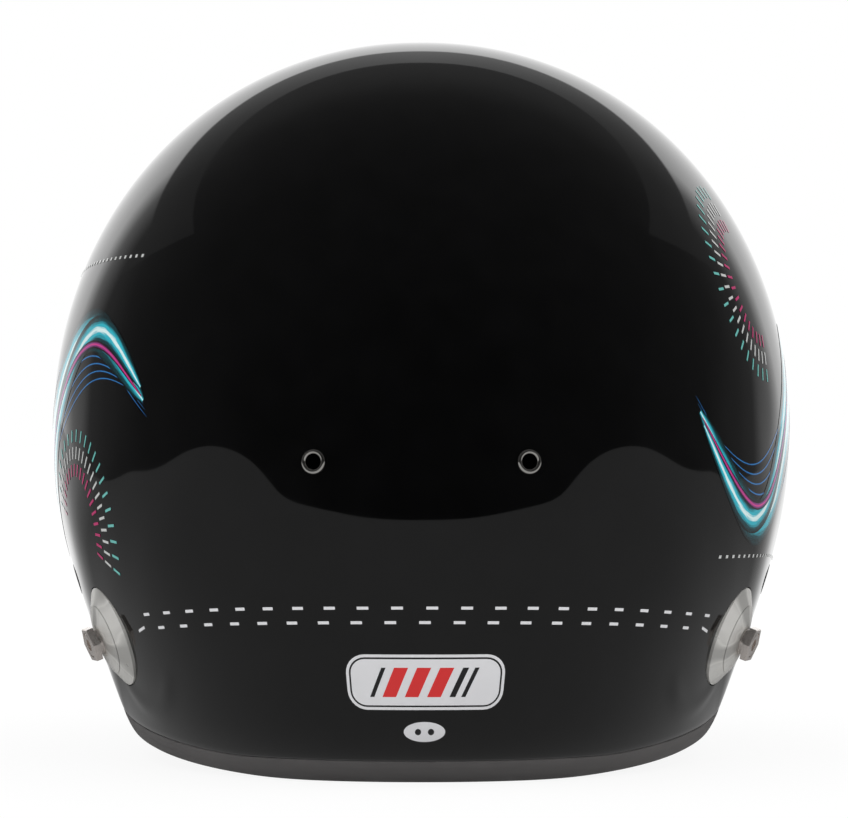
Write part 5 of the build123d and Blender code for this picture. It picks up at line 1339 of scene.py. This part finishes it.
@dataclass
class Straps:
    """Chin straps of webbing, their padded sleeves and the sewn loops that hold the rings."""

    width: float = 24.0
    thickness: float = 2.0
    outer_inset: float = 7.4
    heights: tuple[float, float, float] = (69.0, 30.0, 11.4)
    loop_top: float = 60.0
    pad_depth: float = 42.0
    pad_foot: float = 14.0
    pad_gap: float = 4.5
    runs: tuple[float, float] = (34.0, 18.0)
    ends: tuple[float, float] = (12.0, 42.0)
    radii: tuple[float, ...] = (7.5, 4.5, 4.5, 7.5, 7.5)
    sleeve: tuple[float, float, float, float] = (31.6, 6.7, 17.0, 30.0)
    ring_offset: float = 2.86

    def build(self) -> None:
        """Make and dress both straps and sleeves."""
        webbing, cloth, thread = WEBBING.material(), CLOTH.material(), THREAD.material()
        for number, side in enumerate(Side):
            place = StrapPlace(side)
            route = self.route(place, number)
            strap = self.make_band(f"{side.word}_strap_webbing", place, route)
            settle(strap, webbing, "webbing", f"{side.word}_chin_strap")
            sleeve = self.make_sleeve(side, place)
            settle(sleeve, cloth, "liner_cloth", f"{side.word}_strap_sleeve")
            for piece in self.sewing(side, place, route):
                settle(piece, thread, "webbing")
        for piece in self.ring_loops(StrapPlace(Side.RIGHT), self.route(StrapPlace(Side.RIGHT), 1)[-1]):
            settle(piece, webbing, "webbing")

    def inner_leg(self, place: StrapPlace) -> float:
        """How far inward the strap runs up the face of the cheek pad."""
        return place.depth(self.pad_foot, self.pad_depth + self.pad_gap + 3.5)

    def route(self, place: StrapPlace, number: int) -> Array:
        """Middle line of the strap, inward and up: straight runs joined by tangent arcs."""
        inner = self.inner_leg(place)
        corners = [(place.depth(height, self.outer_inset), height) for height in self.heights]
        foot = self.heights[-1]
        corners += [(inner, foot), (inner, self.loop_top), (inner + self.runs[number], self.loop_top),
                    (inner + self.runs[number], self.ends[number])]
        corners = np.array(corners)
        parts = [corners[:1]]
        for index, radius in enumerate(self.radii):
            parts.append(corner_arc(corners[index], corners[index + 1], corners[index + 2], radius))
        parts.append(corners[-1:])
        line = np.concatenate(parts)
        lengths = run_lengths(line)
        steps = np.unique(np.concatenate([lengths, np.arange(0, lengths[-1], 2.0)]))
        return at_lengths(steps, lengths, line)

    def make_band(self, name: str, place: StrapPlace, line: Array, start: float = 0.0) -> Piece:
        """Flat band with rounded edges along a line in the strap's plane."""
        aside = sideways(line)
        section = rounded_outline(self.width, self.thickness, 0.42 * self.thickness, 5)
        level, rise = section[:, 0], section[:, 1]
        inward = line[:, :1] + aside[:, :1] * rise
        up = line[:, 1:] + aside[:, 1:] * rise
        lengths = run_lengths(line)
        uv = np.stack(np.broadcast_arrays(lengths[:, None] + start, level[None, :] + self.width), axis=-1)
        return tube(name, place.world(inward, up, level), uv)

    def make_sleeve(self, side: Side, place: StrapPlace) -> Piece:
        """Padded sleeve: a crowned outside, rounded ends and a flat bore for the strap."""
        width, depth, foot, length = self.sleeve
        leg = self.inner_leg(place)
        step = np.linspace(0, 1, 40)[:, None]
        outline = rounded_outline(width, depth, depth / 2.2, 10)
        past = np.clip((np.abs(2 * step - 1) - 0.86) / 0.14, 0, 1)
        crown = 1 - 0.10 * (2 * step - 1) ** 2 - 0.16 * past ** 2
        sewn = 1 - 0.35 * groove(np.abs(outline[:, 0]) - 13.4, 0.9)
        outside = place.world(leg + outline[:, 1] * crown * sewn, foot + length * step,
                              outline[:, 0] * (1 - 0.03 * (2 * step - 1) ** 4))
        bore = rounded_outline(self.width + 0.5, self.thickness + 0.5, 1.0, 10)
        down = np.linspace(1, 0, 10)[:, None]
        inside = place.world(leg + bore[:, 1], foot + 0.6 + (length - 1.2) * down, bore[:, 0] + 0 * down)
        points = np.concatenate([outside, inside])
        faces = grid_faces(len(points), len(outline), closed_rows=True, closed_columns=True)
        return new_piece(f"{side.word}_neck_sleeve", points, faces, smooth_angle=60.0)

    def sewing(self, side: Side, place: StrapPlace, line: Array) -> list[Piece]:
        """Boxed stitching on the strap's end, and rows down both edges of its sleeve."""
        end, leg = line[-1], self.inner_leg(place)
        pieces = []
        low = end[1] + (4.5 if side is Side.RIGHT else 3.0)
        high = low + 11
        box = np.array([[-9.0, low], [9.0, low], [9.0, high], [-9.0, high], [-9.0, low], [9.0, high]])
        for face, sign in (("inner", 1.0), ("outer", -1.0)):
            inward = end[0] + sign * (self.thickness / 2 + 0.02) + 0 * box[:, 0]
            path = place.world(inward, box[:, 1], box[:, 0])
            out = np.broadcast_to(sign * place.inward, path.shape)
            pieces.append(stitches(f"{side.word}_strap_{face}_box", path, out, 2.4, 1.8, 0.3, closed=False))
        width, depth, foot, length = self.sleeve
        rise = np.linspace(foot + 1.5, foot + length - 1.5, 20)
        for number, level in enumerate((-13.4, 13.4)):
            path = place.world(leg + depth / 2 * 0.62, rise, np.full(20, level))
            out = np.broadcast_to(place.inward, path.shape)
            pieces.append(stitches(f"{side.word}_sleeve_row_{number}", path, out, 3.2, 2.3, 0.32,
                                   closed=False))
        return pieces

    def ring_loops(self, place: StrapPlace, end: Array) -> list[Piece]:
        """Two turned-back loops of webbing round the ring bars, each a ring of wall with a flap."""
        pieces = []
        for name, sign in (("outer", -1.0), ("inner", 1.0)):
            centre = end[0] + sign * self.ring_offset
            turn = np.linspace(0, 2 * pi, 40, endpoint=False)
            level = np.array([-11.0, -10.8, -10.6, 0.0, 10.6, 10.8, 11.0])[:, None]
            grow = np.array([2.5, 2.68, 2.74, 2.74, 2.74, 2.68, 2.5])[:, None]
            outside = place.world(centre + grow * np.cos(turn), end[1] + grow * np.sin(turn),
                                  level + 0 * turn)
            inside = place.world(centre + 1.62 + 1.62 * (np.cos(turn) - 1), end[1] + 1.62 * np.sin(turn),
                                 level[::-3] + 0 * turn)
            points = np.concatenate([outside, inside])
            faces = grid_faces(len(points), 40, closed_rows=True, closed_columns=True)
            uv = np.stack(np.broadcast_arrays(turn * 2.7, np.linspace(0, 22, len(points))[:, None]), axis=-1)
            pieces.append(new_piece(f"{name}_ring_loop", points, faces, uv))
            flap = np.array([[centre + sign * 1.9, end[1] + 1.6], [end[0] + sign * 2.4, end[1] + 4.0],
                             [end[0] + sign * 1.75, end[1] + 7.5], [end[0] + sign * 1.7, end[1] + 17.0]])
            pieces.append(self.make_flap(f"{name}_ring_flap", place, flap))
        return pieces

    def make_flap(self, name: str, place: StrapPlace, line: Array) -> Piece:
        """Turned-back end of the webbing, sewn onto the strap."""
        narrow = Straps(width=21.6, thickness=1.3)
        dense = at_lengths(np.linspace(0, 1, 24), np.linspace(0, 1, len(line)), line)
        return narrow.make_band(name, place, dense)


# Studio


@dataclass
class Studio:
    """White floor, soft light, and the camera at the photograph's view."""

    camera_distance: float = 1486.0
    camera_height: float = 116.5
    focal_pixels: float = 4345.0
    centre_column: float = 421.4
    horizon_row: float = 410.0
    room_levels: tuple[tuple[float, float], ...] = (
        (0.0, 0.0), (0.17, 0.012), (0.42, 0.035), (0.58, 0.048), (0.67, 0.062), (0.72, 0.088), (0.75, 0.092),
        (0.79, 0.085), (1.0, 0.10))
    frieze_levels: tuple[tuple[float, float], ...] = (
        (0.0, 0.10), (0.78, 0.10), (0.86, 0.15), (0.94, 0.23), (1.0, 0.27))
    frieze_slope: float = 0.4
    frieze_edge: float = 0.875
    frieze_top: float = 0.61
    wall_levels: tuple[tuple[float, float], ...] = (
        (0.0, 0.0), (0.73, 0.0), (0.80, 0.35), (0.84, 1.0), (1.0, 1.0))
    wall_edge: tuple[float, float] = (0.455, 0.435)
    wall_gain: float = 1.12
    gain: float = 1.25
    horizon: float = 0.012
    picture: tuple[int, int] = (848, 818)
    floor_levels: tuple[tuple[float, float], ...] = (
        (0.0, 0.27), (0.33, 0.26), (0.50, 0.25), (0.61, 0.22), (0.70, 0.16), (0.77, 0.25), (0.81, 0.36),
        (0.84, 0.50), (0.87, 0.74), (0.90, 0.95), (0.93, 1.0))

    def build(self) -> None:
        """Set up camera, world and floor."""
        scene = bpy.context.scene
        scene.view_settings.view_transform = "Standard"
        camera = bpy.data.cameras.new("camera")
        camera.sensor_width = 36.0
        wide, tall = self.picture
        camera.lens = self.focal_pixels * camera.sensor_width / wide
        camera.shift_x = (wide / 2 - self.centre_column) / wide
        camera.shift_y = (self.horizon_row - tall / 2) / wide
        camera.clip_start, camera.clip_end = 0.05, 60.0
        eye = bpy.data.objects.new("camera", camera)
        scene.collection.objects.link(eye)
        eye.location = (0, (self.camera_distance + PLAN_SHIFT) * MM, self.camera_height * MM)
        eye.rotation_euler = (pi / 2, 0, pi)
        scene.camera = eye
        self.build_world(scene)
        self.build_floor(scene)

    def build_world(self, scene: bpy.types.Scene) -> None:
        """Studio: plain white light, and for mirrors a dark room with a white wall behind -Y.

        The wall is a soft-edged window of azimuth up to its top edge. A grey frieze runs above it
        to a second edge, and ends to the sides where azimuth plus a slope times height falls under
        a limit. The rest of the room brightens with the angle from +Y, and below the horizon it
        is the floor.
        """
        scene.world = bpy.data.worlds.new("studio")
        nodes = Nodes(scene.world)
        split = nodes.add("ShaderNodeSeparateXYZ", {0: nodes.add("ShaderNodeTexCoord").outputs["Generated"]})
        across, along, up = split.outputs
        angle = nodes.math("DIVIDE", nodes.math("ARCCOSINE", along), pi)
        room = nodes.math("MULTIPLY", nodes.grey(angle, self.room_levels), self.gain)
        beside = self.azimuth(nodes, across, along)
        window = nodes.grey(beside, self.wall_levels)
        under_top = nodes.add("ShaderNodeMapRange", {
            "Value": up, "From Min": self.wall_edge[0], "From Max": self.wall_edge[1]},
            interpolation_type="SMOOTHSTEP").outputs[0]
        wall = nodes.math("MULTIPLY", nodes.math("MULTIPLY", window, under_top), self.wall_gain)
        under_frieze = nodes.math("LESS_THAN", up, self.frieze_top)
        leaning = nodes.math("MULTIPLY_ADD", up, self.frieze_slope, beside)
        inside = nodes.math("MULTIPLY", under_frieze, nodes.math("GREATER_THAN", leaning, self.frieze_edge))
        frieze = nodes.math("MULTIPLY", nodes.grey(beside, self.frieze_levels),
                            nodes.math("MULTIPLY", inside, self.gain))
        above = nodes.math("MAXIMUM", nodes.math("MAXIMUM", room, frieze), wall)
        below = nodes.math("MULTIPLY", nodes.grey(beside, self.floor_levels), self.gain)
        low = nodes.math("LESS_THAN", up, self.horizon)
        mirrored = nodes.math("ADD", nodes.math("MULTIPLY", low, below),
                              nodes.math("MULTIPLY", nodes.math("SUBTRACT", 1.0, low), above))
        mirror = nodes.add("ShaderNodeLightPath").outputs["Is Glossy Ray"]
        strength = nodes.math("ADD", nodes.math("MULTIPLY", mirror, mirrored),
                              nodes.math("SUBTRACT", 1.0, mirror))
        nodes.finish(nodes.add("ShaderNodeBackground", {"Color": (1, 1, 1, 1), "Strength": strength}))

    def azimuth(self, nodes: Nodes, across: Socket,
                along: Socket) -> Socket:
        """Azimuth from +Y as a share of the half turn, the same to both sides."""
        return nodes.math("DIVIDE", nodes.math("ARCTAN2", nodes.math("ABSOLUTE", across), along), pi)

    def build_floor(self, scene: bpy.types.Scene) -> None:
        """Pale floor, which the camera sees as white with the helmet's faint shadow on it."""
        size = 12000.0
        points = np.array([[-size, -size, 0], [size, -size, 0], [size, size, 0], [-size, size, 0]])
        floor = new_piece("floor", points, np.array([[0, 1, 2, 3]]), closed=False)
        nodes = Nodes(bpy.data.materials.new("floor_paper"))
        path = nodes.add("ShaderNodeLightPath")
        split = nodes.add("ShaderNodeSeparateXYZ", {0: nodes.place()})
        level = nodes.grey(self.azimuth(nodes, split.outputs[0], split.outputs[1]), self.floor_levels)
        seen = nodes.math("MAXIMUM", path.outputs["Is Camera Ray"], path.outputs["Is Transmission Ray"])
        paper = nodes.add("ShaderNodeBsdfDiffuse", {"Color": (0.8, 0.8, 0.8, 1)})
        pale = nodes.add("ShaderNodeBsdfDiffuse", {"Color": (0.11, 0.11, 0.11, 1)})
        white = nodes.add("ShaderNodeEmission", {"Color": (1, 1, 1, 1), "Strength": 0.905})
        shown = nodes.add("ShaderNodeAddShader", {0: pale.outputs[0], 1: white.outputs[0]})
        mirrored = nodes.add("ShaderNodeEmission", {
            "Color": (1, 1, 1, 1), "Strength": nodes.math("MULTIPLY", level, self.gain)})
        looked_at = nodes.add("ShaderNodeMixShader", {0: seen, 1: paper.outputs[0], 2: shown.outputs[0]})
        both = nodes.add("ShaderNodeMixShader", {
            0: path.outputs["Is Glossy Ray"], 1: looked_at.outputs[0], 2: mirrored.outputs[0]})
        dress(floor, nodes.finish(both))


# Hardware that keeps its CAD shape


class Hardware:
    """Finishes of the CAD nodes that show as they are."""

    def build(self) -> None:
        """Dress every CAD node that keeps its shape."""
        plain = {
            SEAL_RUBBER: ["eyeport_gasket", "left_anchor_gasket", "right_anchor_gasket"],
            FOAM: ["crown_foam", "chin_foam"],
            BLACK_PLASTIC: ["visor_lock_base", "visor_lock_lever", "chin_vent_frame", "chin_vent_shutter",
                            "left_brow_vent", "right_brow_vent", "left_visor_base_plate",
                            "right_visor_base_plate", "cheek_pad_studs"],
            MESH_STEEL: ["chin_vent_mesh"],
            ANODISED: ["visor_lock_screw", "strap_rivets"],
            ALLOY: ["left_visor_screw", "right_visor_screw", "left_tearoff_post", "right_tearoff_post"],
            BRIGHT_STEEL: ["left_rear_vent_eyelet", "right_rear_vent_eyelet"],
            STEEL: ["outer_d_ring", "inner_d_ring",
                    "left_anchor_screw", "right_anchor_screw", "left_anchor_post", "right_anchor_post"],
            PLATE_STEEL: ["left_anchor_nut", "right_anchor_nut", "left_visor_nut", "right_visor_nut",
                          "left_strap_plate", "right_strap_plate"],
        }
        for finish, names in plain.items():
            material = finish.material()
            for name in names:
                dress(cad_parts[name], material)
        for side in Side:
            axis = FORM.frame_at(side_turn(side, ANCHOR[0]), ANCHOR[1])
            # Turned steel of the anchors, with painted highlight and shade wedges in its base colour.
            turned = TurnedFinish(f"{side.word}_turned_steel", (0.74, 0.73, 0.70), 0.32, metallic=0.35,
                                  mottle=0.04, grain=0.25, grain_depth=0.00003, axis=axis)
            material = turned.material()
            for name in ("anchor_base", "anchor_cone"):
                dress(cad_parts[f"{side.word}_{name}"], material)
        dress(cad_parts["visor_shield"], self.visor_material())

    def visor_material(self) -> Material:
        """Smoke-tinted polycarbonate: so thin that light goes straight through, under a hard coat."""
        nodes = Nodes(bpy.data.materials.new("smoke_visor"))
        shader = nodes.add("ShaderNodeBsdfPrincipled", {
            "Base Color": (0.56, 0.57, 0.58, 1), "Roughness": 0.015, "IOR": 1.03, "Transmission Weight": 1.0,
            "Coat Weight": 1.0, "Coat Roughness": 0.015})
        return nodes.finish(shader)


def main() -> None:
    """Build the helmet's looks around the frame, sub-assembly by sub-assembly."""
    logging.basicConfig(level=logging.INFO, format="%(name)s %(message)s")
    Studio().build()
    Shell().build()
    Films().build()
    LightTrails().build()
    for part in (Liner(), CheekPads(), NeckRoll(), Straps()):
        part.build()
    Hardware().build()


if __name__ == "__main__":
    main()
